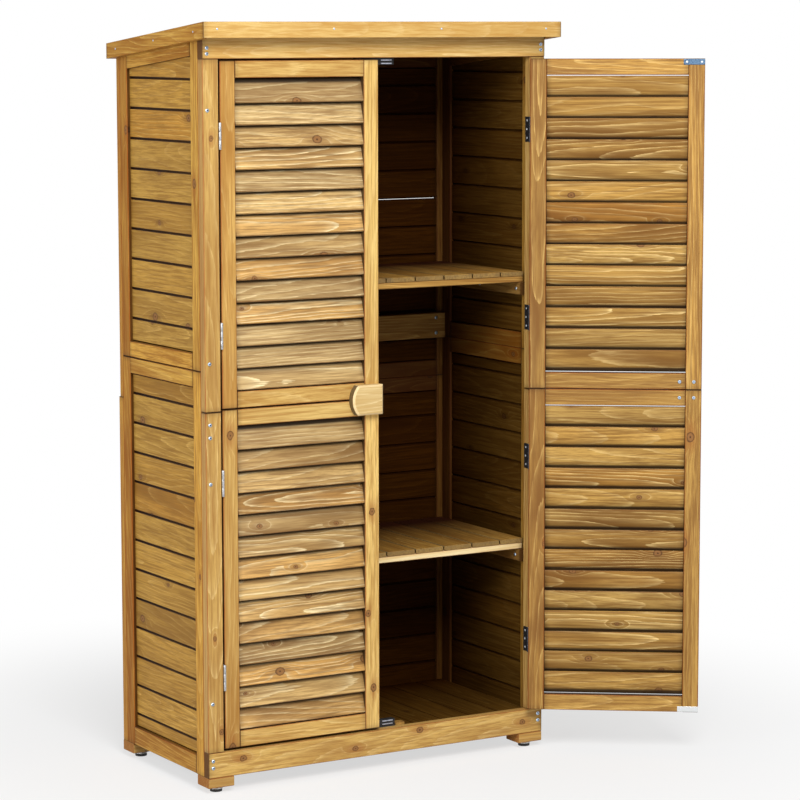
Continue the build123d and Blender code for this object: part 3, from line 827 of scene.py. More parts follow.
@dataclass
class Timber:
    """The boards of one node, with eased edges, grain along each board and a tone for each.

    Attributes:
        node: The node.
        finish: The finish of its boards.
        turn: Turn from the place where the boards lie square to the place where they stand.
        ease: How far back the eased edges start.
        tone: How deep the stain of a board is in the middle.
        spread: How far the tone of a board strays from that.
        pith: How near the pith passes flat-sawn boards, at least and at most.
        far_pith: How near the pith passes other boards.
        figured: Share of flat-sawn boards.
        inside: Strength of the painted shade on faces that look inwards, at the front and at the back.
        depths: Where the front and the back lie for that.
        joint: Level of a joint that stands open, or zero.
        joint_reach: How near a point lies to the joint to be drawn back from it.
        opening: How far boards are drawn back from the joint.
        laps: Whether the boards are slats that lap each other, with painted shade along the laps.
        tones: Tones of the first boards of the row, if they are given one by one.
        sawn: How far narrow faces look like an eased edge.
        narrow_face_shade: How much painted shade narrow faces get, as if in shadowed gaps.
        free_edge: How near a narrow face lies to the middle of the doorway to stay clear of that.
        butts: Whether the ends of the boards get the dark butt line and painted shade near them.
        flamed: Number of a board that shows a pointed flame, or -1.
        flame_cut: That board's place to the side of the pith and over it, and the tilt of its grain.
        end_turn: How far a face looks along the board to count as its end.
        end_flat: How far it may look through the board for that.
        narrow_turn: How far a face looks across the board to count as narrow.
        eased_turn: How far a face turns from the sides of the board to look fully eased.
    """

    node: str
    finish: Finish
    turn: Matrix = field(default_factory=Matrix)
    ease: float = 0.5 * MM
    tone: float = 0.5
    spread: float = 0.4
    pith: tuple[float, float] = (6.0 * MM, 40.0 * MM)
    far_pith: tuple[float, float] = (50.0 * MM, 120.0 * MM)
    figured: float = 0.4
    inside: tuple[float, float] = (0.0, 0.0)
    depths: tuple[float, float] = (-190.0 * MM, 180.0 * MM)
    joint: float = 0.0
    joint_reach: float = 4.0 * MM
    opening: float = 0.75 * MM
    laps: bool = False
    tones: tuple[float, ...] = ()
    sawn: float = 0.0
    narrow_face_shade: float = 0.0
    free_edge: float = 10.0 * MM
    butts: bool = True
    flamed: int = -1
    flame_cut: tuple[float, float, float] = (0.0, 16.0 * MM, -0.04)
    end_turn: float = 0.95
    end_flat: float = 0.3
    narrow_turn: float = 0.95
    eased_turn: float = 0.2

    def build(self, shop: Workshop) -> bpy.types.Object:
        """Makes the boards as one piece.

        Args:
            shop: The workshop.

        Returns:
            The piece, which stands for the node.
        """
        bm = merged_copy(shop.nodes[self.node])
        self._shape(bm)
        round_edges(bm, self.ease, WOOD_CORNER)
        self._lay_grain(bm)
        return shop.finished(f"{self.node}_timber", bm, self.finish, shop.bodies[self.node],
                             shop.slots[self.node], [self.node])

    def _shape(self, bm: bmesh.types.BMesh) -> None:
        """Draws boards back from the level of a joint, so that it stands open.

        Args:
            bm: The boards.
        """
        for board in islands(bm) if self.joint else ():
            middle = sum(v.co.z for v in board) / len(board)
            for vert in board:
                if abs(vert.co.z - self.joint) < self.joint_reach:
                    vert.co.z += math.copysign(self.opening, middle - self.joint)

    def _inside_shade_strength(self, face: bmesh.types.BMFace, y: float) -> float:
        """How strong the painted shade is on faces that look into the cabinet.

        Args:
            face: The face.
            y: Where in the depth of the cabinet it is asked.

        Returns:
            The strength of the painted shade, which is zero on faces that look outwards.
        """
        front, back = self.inside
        middle = face.calc_center_median()
        inward = -(middle.x * face.normal.x + middle.y * face.normal.y)
        level = abs(face.normal.z) >= LEVEL_TURN
        if back == 0.0 or (inward < LEAST_INWARD and not level):
            return 0.0
        front_y, back_y = self.depths
        share = min(1.0, max(0.0, (y - front_y) / (back_y - front_y)))
        return front + (back - front) * share

    @staticmethod
    def _place_in_row(board: list[bmesh.types.BMVert], unturn: Matrix) -> tuple[float, ...]:
        """Middle of a board, by which boards are put in order from left to right, front to back and up."""
        places = [unturn @ v.co for v in board]
        return tuple(round(sum(p[i] for p in places) / len(places), 2) for i in range(3))

    def _cut(self, number: int, width: float) -> BoardCut:
        """Draws by chance how a board was cut.

        Args:
            number: Place of the board in its row.
            width: Its width.

        Returns:
            The cut.
        """
        dice = random.Random(f"{self.node} {number}")
        start = dice.uniform(0.0, 60.0)
        flat_sawn = dice.random() < self.figured or number == self.flamed
        aside = dice.uniform(-0.6, 0.6) * width * (1.0 if flat_sawn else 3.0)
        below = dice.choice((-1, 1)) * dice.uniform(*(self.pith if flat_sawn else self.far_pith))
        lean = dice.uniform(-0.02, 0.02)
        tilt = dice.choice((-1, 1)) * dice.uniform(0.02, 0.06)
        flame = dice.uniform(0.85, 1.0) if flat_sawn else dice.uniform(0.35, 0.65)
        if number == self.flamed:
            aside, below, tilt = self.flame_cut
        middle = self.tones[number] if number < len(self.tones) else self.tone
        tone = min(1.0, max(0.0, middle + dice.uniform(-self.spread, self.spread)))
        hue = dice.uniform(-1.0, 1.0)
        return BoardCut(start, aside, below, lean, tilt, flame, tone, hue)

    def _lay_grain(self, bm: bmesh.types.BMesh) -> None:
        """Writes the grain, span, trim and lee attributes of every board.

        Args:
            bm: The boards.
        """
        grain = bm.verts.layers.float_vector.new("grain")
        trim = bm.loops.layers.float_vector.new("trim")
        lee = bm.loops.layers.float_vector.new("lee")
        span = bm.verts.layers.float_vector.new("span")
        unturn = self.turn.inverted()
        boards = islands(bm)
        if self.tones:
            boards.sort(key=lambda board: self._place_in_row(board, unturn))
        for number, board in enumerate(boards):
            local = {v: unturn @ v.co for v in board}
            low = [min(c[i] for c in local.values()) for i in range(3)]
            high = [max(c[i] for c in local.values()) for i in range(3)]
            size = [b - a for a, b in zip(low, high)]
            centre = [(a + b) / 2 for a, b in zip(low, high)]
            order = sorted(range(3), key=lambda i: -size[i])
            length = size[order[0]]
            cut = self._cut(number, size[order[1]])
            for vert, place in local.items():
                u, v, w = (place[i] - centre[i] for i in order)
                vert[grain] = Vector((u + cut.start, v + cut.aside + u * cut.lean,
                                      w + cut.below + u * cut.tilt))
                vert[span] = Vector((u / length + 0.5 if self.butts else 0.5, length, cut.hue))
            for face in {f for v in board for f in v.link_faces}:
                facing = unturn.to_3x3() @ face.normal
                lengthwise, crosswise, flat = (abs(facing[i]) for i in order)
                narrow = crosswise > self.narrow_turn
                end = lengthwise > self.end_turn and flat < self.end_flat
                turned = 1.0 - max(lengthwise, crosswise, flat)
                eased = min(1.0, max(0.0, turned / self.eased_turn))
                eased = max(eased, self.sawn if narrow else 0.0)
                for loop in face.loops:
                    place = local[loop.vert]
                    rise = (place.z - low[2]) / size[2]
                    # Painted shade: narrow faces as if in shadowed gaps, and slats towards their overlap
                    # with the neighbour.
                    lap_and_gap_shade = self.narrow_face_shade if narrow and abs(place.x) > self.free_edge else 0.0
                    if self.laps:
                        lap_and_gap_shade = rise if facing.y < 0 else 1.0 - rise
                    loop[trim] = Vector((eased, 1.0 if end else 0.0, cut.tone))
                    loop[lee] = Vector((self._inside_shade_strength(face, loop.vert.co.y), cut.flame, lap_and_gap_shade))


@dataclass
class Grip(Timber):
    """The D-shaped handle of a door, with its rounded end drawn finer than the facets of the solid.

    Attributes:
        centre: A point on the axis of the rounded end, on the shut door.
        circles: Radii of its edges at the back and at the front.
        slack: How far from a circle a point lies that belongs to it.
        shortest: The shortest edge that is divided.
        cuts: How many points are put into each edge.
    """

    centre: Vector = field(default_factory=Vector)
    circles: tuple[float, float] = (45.885 * MM, 41.885 * MM)
    slack: float = 0.3 * MM
    shortest: float = 1.0 * MM
    cuts: int = 3

    def _away(self, vert: bmesh.types.BMVert) -> Vector:
        """Way from the axis of the rounded end to a point, on the shut door."""
        way = self.turn.inverted() @ vert.co - self.centre
        return Vector((way.x, 0.0, way.z))

    def _shape(self, bm: bmesh.types.BMesh) -> None:
        """Divides the facets of the rounded end and sets the new points on its circles.

        Args:
            bm: The handle.
        """
        bent = []
        for edge in bm.edges:
            first, second = (self._away(v) for v in edge.verts)
            on_circle = any(max(abs(first.length - r), abs(second.length - r)) < self.slack
                            for r in self.circles)
            if on_circle and (first - second).length > self.shortest:
                bent.append(edge)
        bmesh.ops.subdivide_edges(bm, edges=bent, cuts=self.cuts, use_grid_fill=True)
        for vert in bm.verts:
            way = self._away(vert)
            short = min((r - way.length for r in self.circles), key=abs)
            if abs(short) < self.slack:
                vert.co += self.turn.to_3x3() @ (way.normalized() * short)


@dataclass
class Fitting:
    """A node of metal or plastic, copied with softened edges."""

    node: str
    finish: Finish
    soften: float = 0.15 * MM

    def build(self, shop: Workshop) -> bpy.types.Object:
        """Makes the piece that stands for the node.

        Args:
            shop: The workshop.

        Returns:
            The piece.
        """
        bm = merged_copy(shop.nodes[self.node])
        round_edges(bm, self.soften, METAL_CORNER)
        return shop.finished(f"{self.node}_fitting", bm, self.finish, shop.bodies[self.node],
                             shop.slots[self.node], [self.node])


@dataclass(frozen=True)
class HeadShape:
    """The head of a screw or nail, in metres, standing on a face at z = 0.

    Attributes:
        radius: Its radius.
        rim: Height of its upright rim.
        height: Its full height.
        crown: Radius of its flat top.
        cross: Reach of the arms of its cross recess, or zero.
        sunk: Depth of the recess.
        sides: Facets round it.
        arm_share: Half the width of an arm, as a share of its reach.
        taper: Size of the bottom of the recess, as a share of its mouth.
    """

    radius: float
    rim: float
    height: float
    crown: float
    cross: float = 0.0
    sunk: float = 0.0
    sides: int = 18
    arm_share: float = 0.28
    taper: float = 0.7

    def template(self) -> bmesh.types.BMesh:
        """Builds the head by spinning its profile and cutting the cross recess into its crown.

        Returns:
            The head.
        """
        bm = bmesh.new()
        outline = [(0.0, 0.0), (self.radius, 0.0), (self.radius, self.rim),
                   ((self.radius + self.crown) / 2, (self.rim + self.height * 2) / 3),
                   (self.crown, self.height)]
        verts = [bm.verts.new((r, 0.0, z)) for r, z in outline]
        edges = [bm.edges.new(pair) for pair in zip(verts, verts[1:])]
        bmesh.ops.spin(bm, geom=verts + edges, cent=(0, 0, 0), axis=(0, 0, 1), dvec=(0, 0, 0),
                       angle=math.tau, steps=self.sides, use_merge=True, use_duplicate=False)
        bmesh.ops.remove_doubles(bm, verts=bm.verts, dist=SAME_POINT)
        mouth = [e for e in bm.edges if e.is_boundary]
        if self.cross:
            self._cut_cross(bm, mouth)
        else:
            bmesh.ops.holes_fill(bm, edges=mouth)
        bmesh.ops.recalc_face_normals(bm, faces=bm.faces)
        return bm

    def _cut_cross(self, bm: bmesh.types.BMesh, mouth: list[bmesh.types.BMEdge]) -> None:
        """Bridges the crown to a cross-shaped hole and sinks the hole.

        Args:
            bm: The head.
            mouth: The open edges of its crown.
        """
        arm, slot = self.cross, self.cross * self.arm_share
        quarter = [(slot, slot), (slot, arm), (-slot, arm)]
        corners = [Matrix.Rotation(math.pi / 2 * n, 3, "Z") @ Vector((x, y, self.height))
                   for n in range(4) for x, y in quarter]
        ring = [bm.verts.new(c) for c in corners]
        lip = [bm.edges.new(pair) for pair in zip(ring, ring[1:] + ring[:1])]
        bmesh.ops.bridge_loops(bm, edges=mouth + lip)
        grown = bmesh.ops.extrude_edge_only(bm, edges=lip)["geom"]
        bottom = [v for v in grown if isinstance(v, bmesh.types.BMVert)]
        bmesh.ops.translate(bm, verts=bottom, vec=(0, 0, -self.sunk))
        bmesh.ops.scale(bm, verts=bottom, vec=(self.taper, self.taper, 1.0))
        floor = [e for e in bm.edges if e.is_boundary]
        bmesh.ops.holes_fill(bm, edges=floor)


class Head(Enum):
    """Kinds of screw and nail heads."""

    PAN = HeadShape(4.0 * MM, 1.0 * MM, 2.3 * MM, 2.7 * MM, 2.1 * MM, 1.4 * MM)
    FLUSH = HeadShape(2.4 * MM, 0.1 * MM, 0.25 * MM, 2.0 * MM, 1.3 * MM, 0.2 * MM)
    NAIL = HeadShape(2.0 * MM, 0.3 * MM, 0.6 * MM, 1.0 * MM, sides=12)
    CLOUT = HeadShape(4.0 * MM, 0.4 * MM, 0.7 * MM, 3.0 * MM, sides=14)


@dataclass
class HeadSet:
    """Screw or nail heads of one kind on one body, each on a face that looks in a direction."""

    name: str
    body: str
    kind: Head
    places: list[Spot]
    slot: str = "hinge_steel"
    finish: Finish = Finish.SCREW

    def build(self, shop: Workshop) -> bpy.types.Object:
        """Sets a head at every place, each turned by chance.

        Args:
            shop: The workshop.

        Returns:
            The piece that holds them.
        """
        pattern = bpy.data.meshes.new(f"{self.name}_pattern")
        template = self.kind.value.template()
        template.to_mesh(pattern)
        template.free()
        bm = bmesh.new()
        dice = random.Random(self.name)
        for spot, outward in self.places:
            before = len(bm.verts)
            bm.from_mesh(pattern)
            bm.verts.ensure_lookup_table()
            stand = outward.to_track_quat("Z", "Y").to_matrix().to_4x4()
            twist = Matrix.Rotation(dice.uniform(0.0, math.tau), 4, "Z")
            bmesh.ops.transform(bm, matrix=Matrix.Translation(spot) @ stand @ twist, verts=bm.verts[before:])
        bpy.data.meshes.remove(pattern)
        return shop.finished(self.name, bm, self.finish, self.body, self.slot)


@dataclass
class DoorHang:
    """How a door hangs at rest: the turn of its pieces from the shut place."""

    side: int
    open_degrees: float
    axis: Vector

    def matrix(self) -> Matrix:
        """Turn from shut to rest."""
        return (Matrix.Translation(self.axis) @ Matrix.Rotation(math.radians(self.open_degrees), 4, "Z")
                @ Matrix.Translation(-self.axis))


@dataclass(frozen=True)
class Panel:
    """The colours of a side or back panel.

    Attributes:
        name: Name of the panel.
        tones: Tones of its frame's boards, in the order of their row.
        inside: Strength of the painted shade on its frame, at the front and at the back.
        board_tone: Tone of its boards.
        board_finish: Finish of its boards.
        board_inside: Strength of the painted shade on its boards.
        sawn: How far narrow faces of its frame look like an eased edge.
        parted: Whether the joint to the other half of its side stands open.
        slit: Level of a slit of daylight between two of its boards, or zero.
    """

    name: str
    tones: tuple[float, float, float, float]
    inside: tuple[float, float]
    board_tone: float
    board_finish: Finish = Finish.LINING
    board_inside: tuple[float, float] = (0.78, 1.0)
    sawn: float = 0.0
    parted: bool = False
    slit: float = 0.0


@dataclass
class Carcass:
    """The fixed cabinet: front frame, side and back panels, floor, feet and cleats."""

    shop: Workshop
    panels: tuple[Panel, ...] = (
        Panel("left_lower_side", (0.1, 0.6, 0.15, 0.9), (0.35, 0.85), 0.32, Finish.CLADDING, parted=True),
        Panel("left_upper_side", (0.1, 0.0, 0.45, 0.9), (0.35, 0.85), 0.25, Finish.CLADDING, parted=True),
        # The right and back panels' frames take the deepest tones on their rails, as painted shade inside
        # the cabinet.
        Panel("right_lower_side", (0.1, 1.0, 1.0, 0.9), (0.3, 0.95), 0.32),
        Panel("right_upper_side", (0.1, 1.0, 1.0, 0.9), (0.3, 0.95), 0.25),
        Panel("lower_back", (0.1, 1.0, 1.0, 0.05), (0.35, 0.9), 0.32, board_inside=(0.78, 0.985),
              sawn=0.5),
        Panel("upper_back", (0.1, 1.0, 1.0, 0.05), (0.35, 0.9), 0.25, board_inside=(0.78, 0.985),
              sawn=0.5, slit=1209.5 * MM))
    slit_opening: float = 0.55 * MM
    front_y: float = -203.0 * MM
    front_screw_x: float = 407.5 * MM
    front_screw_rows: dict[int, tuple[float, ...]] = field(default_factory=lambda: {
        -1: (56.0, 71.0, 193.0, 658.0, 755.0, 782.0, 909.0, 1430.0, 1545.0, 1557.0),
        1: (60.5, 75.5, 193.0, 658.0, 755.0, 782.0, 909.0, 1430.0, 1549.5, 1561.5)})
    cleat_face: float = 383.0 * MM
    cleat_screw_rise: float = 14.0 * MM
    cleat_screw_end: float = 18.0 * MM
    batten_screw_columns: tuple[float, float, float] = (-372.0 * MM, 0.0, 372.0 * MM)
    batten_screw_rows: tuple[float, float] = (12.0 * MM, 11.0 * MM)

    def build(self) -> None:
        """Makes every piece of the carcass."""
        self._front_frame()
        self._walls()
        # Painted shade on the inside faces of the floor, back batten and shelf cleats, deeper towards the
        # back.
        Timber("floor_boards", Finish.LINING, tone=0.3, spread=0.3, inside=(0.8, 1.0)).build(self.shop)
        for node, dark in (("back_batten", (0.2, 0.3)), ("shelf_cleats", (0.3, 0.9)),
                           ("floor_bearers", (0.0, 0.0)), ("catch_block", (0.0, 0.0))):
            Timber(node, Finish.INNER, tone=0.5, spread=0.3, inside=dark).build(self.shop)
        Timber("foot_blocks", Finish.FRAME, tone=0.5, spread=0.2, butts=False).build(self.shop)
        self._screws()

    def _front_frame(self) -> None:
        """Makes the sill, the header and the posts."""
        # The header takes the paler fascia finish as painted light, against the shade that the fascia casts
        # on it.
        for node, finish, tone in (("sill", Finish.FRAME, 0.1), ("header", Finish.FASCIA, 0.0)):
            Timber(node, finish, tone=tone, spread=0.1, figured=0.6, sawn=0.2).build(self.shop)
        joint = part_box("left_lower_post")[1].z
        # Left posts: painted shade on jambs and backs, for the shadow by the shut door. Right posts: a paler
        # tone as painted light against the open door's shade.
        for side, tone, dark in (("left", 0.4, 0.75), ("right", -0.15, 0.0)):
            for half in ("lower", "upper"):
                Timber(f"{side}_{half}_post", Finish.FRAME, tone=tone, spread=0.1, figured=0.6, sawn=0.2,
                       inside=(dark, dark), joint=joint).build(self.shop)

    def _walls(self) -> None:
        """Makes the frames and boards of the side and back panels."""
        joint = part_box("left_lower_side_frame")[1].z
        for panel in self.panels:
            Timber(f"{panel.name}_frame", Finish.SIDE, tones=panel.tones, spread=0.1, inside=panel.inside,
                   sawn=panel.sawn, joint=joint if panel.parted else 0.0).build(self.shop)
            Timber(f"{panel.name}_boards", panel.board_finish, tone=panel.board_tone, spread=0.35,
                   inside=panel.board_inside, joint=panel.slit, opening=self.slit_opening).build(self.shop)

    def _screws(self) -> None:
        """Sets the pan heads of the front frame, the cleats and the batten."""
        spots = []
        for side, rows in self.front_screw_rows.items():
            x = side * self.front_screw_x
            spots += [(Vector((x, self.front_y, z * MM)), FRONT) for z in rows]
        HeadSet("front_frame_screws", "cabinet", Head.PAN, spots).build(self.shop)
        low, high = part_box("shelf_cleats")
        inner = []
        for z in (low.z + self.cleat_screw_rise, high.z - self.cleat_screw_rise):
            for y in (low.y + self.cleat_screw_end, high.y - self.cleat_screw_end, (low.y + high.y) / 2):
                inner.append((Vector((-self.cleat_face, y, z)), RIGHTWARD))
                inner.append((Vector((self.cleat_face, y, z)), LEFTWARD))
        low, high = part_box("back_batten")
        from_low, from_high = self.batten_screw_rows
        for x in self.batten_screw_columns:
            for z in (low.z + from_low, high.z - from_high):
                inner.append((Vector((x, low.y, z)), FRONT))
        HeadSet("inner_screws", "cabinet", Head.PAN, inner).build(self.shop)


@dataclass
class Roof:
    """The pent roof: boards, felt, fascias and barge boards with their nails.

    Attributes:
        shop: The workshop.
        slope: Fall of the felt over its depth.
        lap_share: Share of the depth that the upper sheet of felt covers.
        lap_rise: How far the upper sheet stands over the lower one.
        lap_sink: How far its underside is sunk into the lower one.
        lap_ease: How far back its eased edges start.
        clouts: How many clout nails a row has.
        clout_margin: Where a row starts, by share of the width, and as far from the end it stops.
        clout_rows: Rows of clout nails, by share of the depth and whether they hold the upper sheet.
        clout_edges: Clout nails along each side edge, by the same.
        clout_columns: Where the nails along the side edges lie, by share of the width.
        barge_nails: Nails of a barge board, by share of its length.
        barge_nail_drop: How far they lie under its top.
        fascia_nails: Nails of a fascia, by share of its length.
        fascia_nail_drop: How far they lie under its top.
    """

    shop: Workshop
    slope: float = 0.0989
    lap_share: float = 0.56
    lap_rise: float = 1.0 * MM
    lap_sink: float = 0.3 * MM
    lap_ease: float = 0.3 * MM
    clouts: int = 10
    clout_margin: float = 0.03
    clout_rows: tuple[tuple[float, bool], ...] = ((0.04, True), (0.535, True), (0.96, False))
    clout_edges: tuple[tuple[float, bool], ...] = ((0.15, True), (0.27, True), (0.4, True),
                                                   (0.68, False), (0.82, False))
    clout_columns: tuple[float, float] = (0.02, 0.98)
    barge_nails: tuple[float, ...] = (0.10, 0.5, 0.90)
    barge_nail_drop: float = 16.0 * MM
    fascia_nails: tuple[float, ...] = (0.037, 0.35, 0.65, 0.955)
    fascia_nail_drop: float = 15.0 * MM

    def build(self) -> None:
        """Makes every piece of the roof."""
        Timber("roof_deck", Finish.INNER).build(self.shop)
        Timber("front_fascia", Finish.FASCIA, tone=0.25, spread=0.05).build(self.shop)
        Timber("back_fascia", Finish.SIDE, tone=0.5).build(self.shop)
        for node in ("left_barge_board", "right_barge_board"):
            Timber(node, Finish.SIDE, tone=0.55, spread=0.1).build(self.shop)
        Fitting("roof_felt", Finish.FELT, 0.4 * MM).build(self.shop)
        self._nails()
        self._felt_lap()
        self._clouts()

    def _felt_point(self, x_share: float, y_share: float, rise: float) -> Vector:
        """A point over the lower sheet of felt.

        Args:
            x_share: Share of the width.
            y_share: Share of the depth.
            rise: How far it lies over the sheet.

        Returns:
            The point.
        """
        low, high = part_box("roof_felt")
        y = low.y + y_share * (high.y - low.y)
        z = high.z - self.slope * (y - low.y) + rise
        return Vector((low.x + x_share * (high.x - low.x), y, z))

    def _felt_lap(self) -> None:
        """Lays the upper sheet of felt over the lower one."""
        bm = bmesh.new()
        for vert in bmesh.ops.create_cube(bm, size=1.0)["verts"]:
            rise = self.lap_rise if vert.co.z > 0 else -self.lap_sink
            vert.co = self._felt_point(0.5 + vert.co.x, self.lap_share * (vert.co.y + 0.5), rise)
        round_edges(bm, self.lap_ease, METAL_CORNER)
        self.shop.finished("roof_felt_lap", bm, Finish.FELT, "cabinet", "roof_felt")

    def _clouts(self) -> None:
        """Nails both sheets of felt down."""
        outward = Vector((0.0, self.slope, 1.0)).normalized()
        spots = []
        for n in range(self.clouts):
            x_share = self.clout_margin + (1.0 - 2.0 * self.clout_margin) * n / (self.clouts - 1)
            for y_share, upper in self.clout_rows:
                spots.append((self._felt_point(x_share, y_share, self.lap_rise if upper else 0.0), outward))
        for x_share in self.clout_columns:
            for y_share, upper in self.clout_edges:
                spots.append((self._felt_point(x_share, y_share, self.lap_rise if upper else 0.0), outward))
        HeadSet("felt_clouts", "cabinet", Head.CLOUT, spots).build(self.shop)

    def _nails(self) -> None:
        """Sets the nails of the fascias and barge boards."""
        low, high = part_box("left_barge_board")
        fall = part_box("front_fascia")[1].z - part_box("back_fascia")[1].z
        spots = []
        for share in self.barge_nails:
            y = low.y + share * (high.y - low.y)
            z = high.z - share * fall - self.barge_nail_drop
            spots.append((Vector((low.x, y, z)), LEFTWARD))
            spots.append((Vector((-low.x, y, z)), RIGHTWARD))
        for node, outward in (("front_fascia", FRONT), ("back_fascia", BACK)):
            low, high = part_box(node)
            face = low.y if outward is FRONT else high.y
            for share in self.fascia_nails:
                x = low.x + share * (high.x - low.x)
                spots.append((Vector((x, face, high.z - self.fascia_nail_drop)), outward))
        HeadSet("roof_nails", "cabinet", Head.NAIL, spots).build(self.shop)


def hinge_screw_spots() -> list[tuple[float, float]]:
    """Depths and levels of the screws in the leaves of one door's hinges."""
    return [(y, level + rise) for level in HINGE_LEVELS for y, rise in HINGE_SCREWS]


@dataclass
class Door:
    """A louvred door of two halves, with its handle, hinges and strike plates.

    Attributes:
        shop: The workshop.
        name: Name of the door's body.
        hang: How it hangs.
        tone: Tone of its slats.
        tones: Tones of the upper half's stiles and rails: one stile, two rails, the other stile.
        frame_finish: Finish of its stiles and rails.
        slat_finish: Finish of its slats.
        figured: Share of flat-sawn stiles and rails.
        flamed: Number of the upper half's board that shows a pointed flame, or -1.
        parted: Whether the joint between its halves stands open.
        slat_tilt: Tilt of the slats in degrees.
        free_x: Where its free edge lies when it is shut.
        back_y: Where its back lies when it is shut.
        joint_z: Level of the joint between its halves.
        handle_axis: Where the axis of the handle's rounded end lies when the door is shut.
        handle_screw_columns: Where the handle's screws lie from the free edge.
        handle_screw_rise: How far they lie from the joint.
        plate_thickness: Thickness of the strike plates.
        plate_levels: Levels of the strike plates' screws.
        plate_screw_columns: Where these lie from the free edge.
        leaf_x: Where the face of the hinge leaves lies.
    """

    shop: Workshop
    name: str
    hang: DoorHang
    tone: float = 0.3
    tones: tuple[float, float, float, float] = (0.85, 0.45, 0.45, 0.0)
    frame_finish: Finish = Finish.DOOR
    slat_finish: Finish = Finish.LOUVRE
    figured: float = 0.4
    flamed: int = -1
    parted: bool = True
    slat_tilt: float = 17.0
    free_x: float = 2.0 * MM
    back_y: float = -182.0 * MM
    joint_z: float = 812.25 * MM
    handle_axis: float = 30.115 * MM
    handle_screw_columns: tuple[float, float] = (17.0 * MM, 48.0 * MM)
    handle_screw_rise: float = 17.5 * MM
    plate_thickness: float = 1.5 * MM
    plate_levels: tuple[float, float] = (101.0 * MM, 1523.5 * MM)
    plate_screw_columns: tuple[float, float] = (7.0 * MM, 39.0 * MM)
    leaf_x: float = 379.2 * MM

    def build(self) -> None:
        """Makes every piece of the door."""
        turn = self.hang.matrix()
        slat_turn = turn @ Matrix.Rotation(math.radians(-self.slat_tilt), 4, "X")
        first, inner, outer, last = self.tones
        for half, tones, flamed in (("upper", (first, inner, outer, last), self.flamed),
                                    ("lower", (first, outer, inner, last), -1)):
            # Narrow faces of the frame, but for the free edge, get painted shade as if in shadowed gaps, and
            # the slats painted shade along their laps.
            Timber(f"{self.name}_{half}_frame", self.frame_finish, turn, tones=tones, spread=0.08,
                   figured=self.figured, sawn=0.6, narrow_face_shade=0.84, flamed=flamed,
                   joint=self.joint_z if self.parted else 0.0).build(self.shop)
            Timber(f"{self.name}_{half}_slats", self.slat_finish, slat_turn, tone=self.tone,
                   spread=0.5, laps=True).build(self.shop)
        axis = Vector((self.hang.side * self.handle_axis, 0.0, self.joint_z))
        # The rounded end counts as an end, so that it takes the dark end colour, partly as painted shade.
        Grip(f"{self.name}_handle", Finish.HANDLE, turn, ease=1.2 * MM, tone=0.3, spread=0.1, butts=False,
             end_turn=0.6, centre=axis).build(self.shop)
        # The right door's leaves take the dark hinge steel as painted shade.
        steel = Finish.HINGE if self.hang.side < 0 else Finish.DARK_HINGE
        Fitting(f"{self.name}_hinge_leaves", steel).build(self.shop)
        Fitting(f"{self.name}_strike_plates", Finish.PLATE, 0.4 * MM).build(self.shop)
        self._screws(turn)

    def _placed(self, turn: Matrix, x: float, y: float, z: float, outward: Vector) -> Spot:
        """A spot on the shut door, moved to where the door stands."""
        spot = turn @ Vector((self.hang.side * x, y, z))
        return spot, turn.to_3x3() @ outward

    def _screws(self, turn: Matrix) -> None:
        """Sets the heads that hold the handle, the strike plates and the hinge leaves.

        Args:
            turn: Turn of the door from shut to rest.
        """
        handle = []
        for x in self.handle_screw_columns:
            for rise in (-self.handle_screw_rise, self.handle_screw_rise):
                handle.append(self._placed(turn, self.free_x + x, self.back_y, self.joint_z + rise, BACK))
        HeadSet(f"{self.name}_handle_screws", self.name, Head.PAN, handle).build(self.shop)
        plates = []
        for z in self.plate_levels:
            for x in self.plate_screw_columns:
                y = self.back_y + self.plate_thickness
                plates.append(self._placed(turn, self.free_x + x, y, z, BACK))
        HeadSet(f"{self.name}_plate_screws", self.name, Head.FLUSH, plates,
                finish=Finish.HINGE_SCREW).build(self.shop)
        sideways = Vector((self.hang.side, 0, 0))
        leaves = [self._placed(turn, self.leaf_x, y, z, sideways) for y, z in hinge_screw_spots()]
        HeadSet(f"{self.name}_hinge_screws", self.name, Head.FLUSH, leaves,
                finish=Finish.HINGE_SCREW).build(self.shop)


@dataclass
class Hardware:
    """Hinge leaves and pins on the posts, catches and glides."""

    shop: Workshop
    leaf_x: float = 379.8 * MM

    def build(self) -> None:
        """Makes the fixed metal and plastic pieces."""
        for fitting in (Fitting("left_post_hinge_leaves", Finish.HINGE),
                        # The right post's leaves take the dark hinge steel as painted shade.
                        Fitting("right_post_hinge_leaves", Finish.DARK_HINGE),
                        Fitting("hinge_pins", Finish.HINGE, 0.4 * MM),
                        Fitting("catch_bodies", Finish.CATCH, 0.6 * MM),
                        Fitting("catch_plates", Finish.STRIP, 0.2 * MM),
                        Fitting("glide_cups", Finish.GLIDE, 0.4 * MM),
                        Fitting("glide_pads", Finish.PAD, 0.8 * MM)):
            fitting.build(self.shop)
        spots = []
        for y, z in hinge_screw_spots():
            spots.append((Vector((-self.leaf_x, y, z)), RIGHTWARD))
            spots.append((Vector((self.leaf_x, y, z)), LEFTWARD))
        HeadSet("post_hinge_screws", "cabinet", Head.FLUSH, spots,
                finish=Finish.HINGE_SCREW).build(self.shop)


@dataclass
class Shelf:
    """A slatted lift-out shelf."""

    shop: Workshop
    name: str
    batten_finish: Finish
    batten_tone: float

    def build(self) -> None:
        """Makes the slats and battens."""
        # Painted shade that deepens towards the back on slats and battens, and on slat narrow faces as if in
        # shadowed gaps.
        Timber(f"{self.name}_slats", Finish.SHELF, tone=0.4, spread=0.4, inside=(0.0, 1.15), narrow_face_shade=1.0,
               butts=False).build(self.shop)
        Timber(f"{self.name}_battens", self.batten_finish, tone=self.batten_tone, spread=0.05,
               inside=(0.0, 1.0)).build(self.shop)


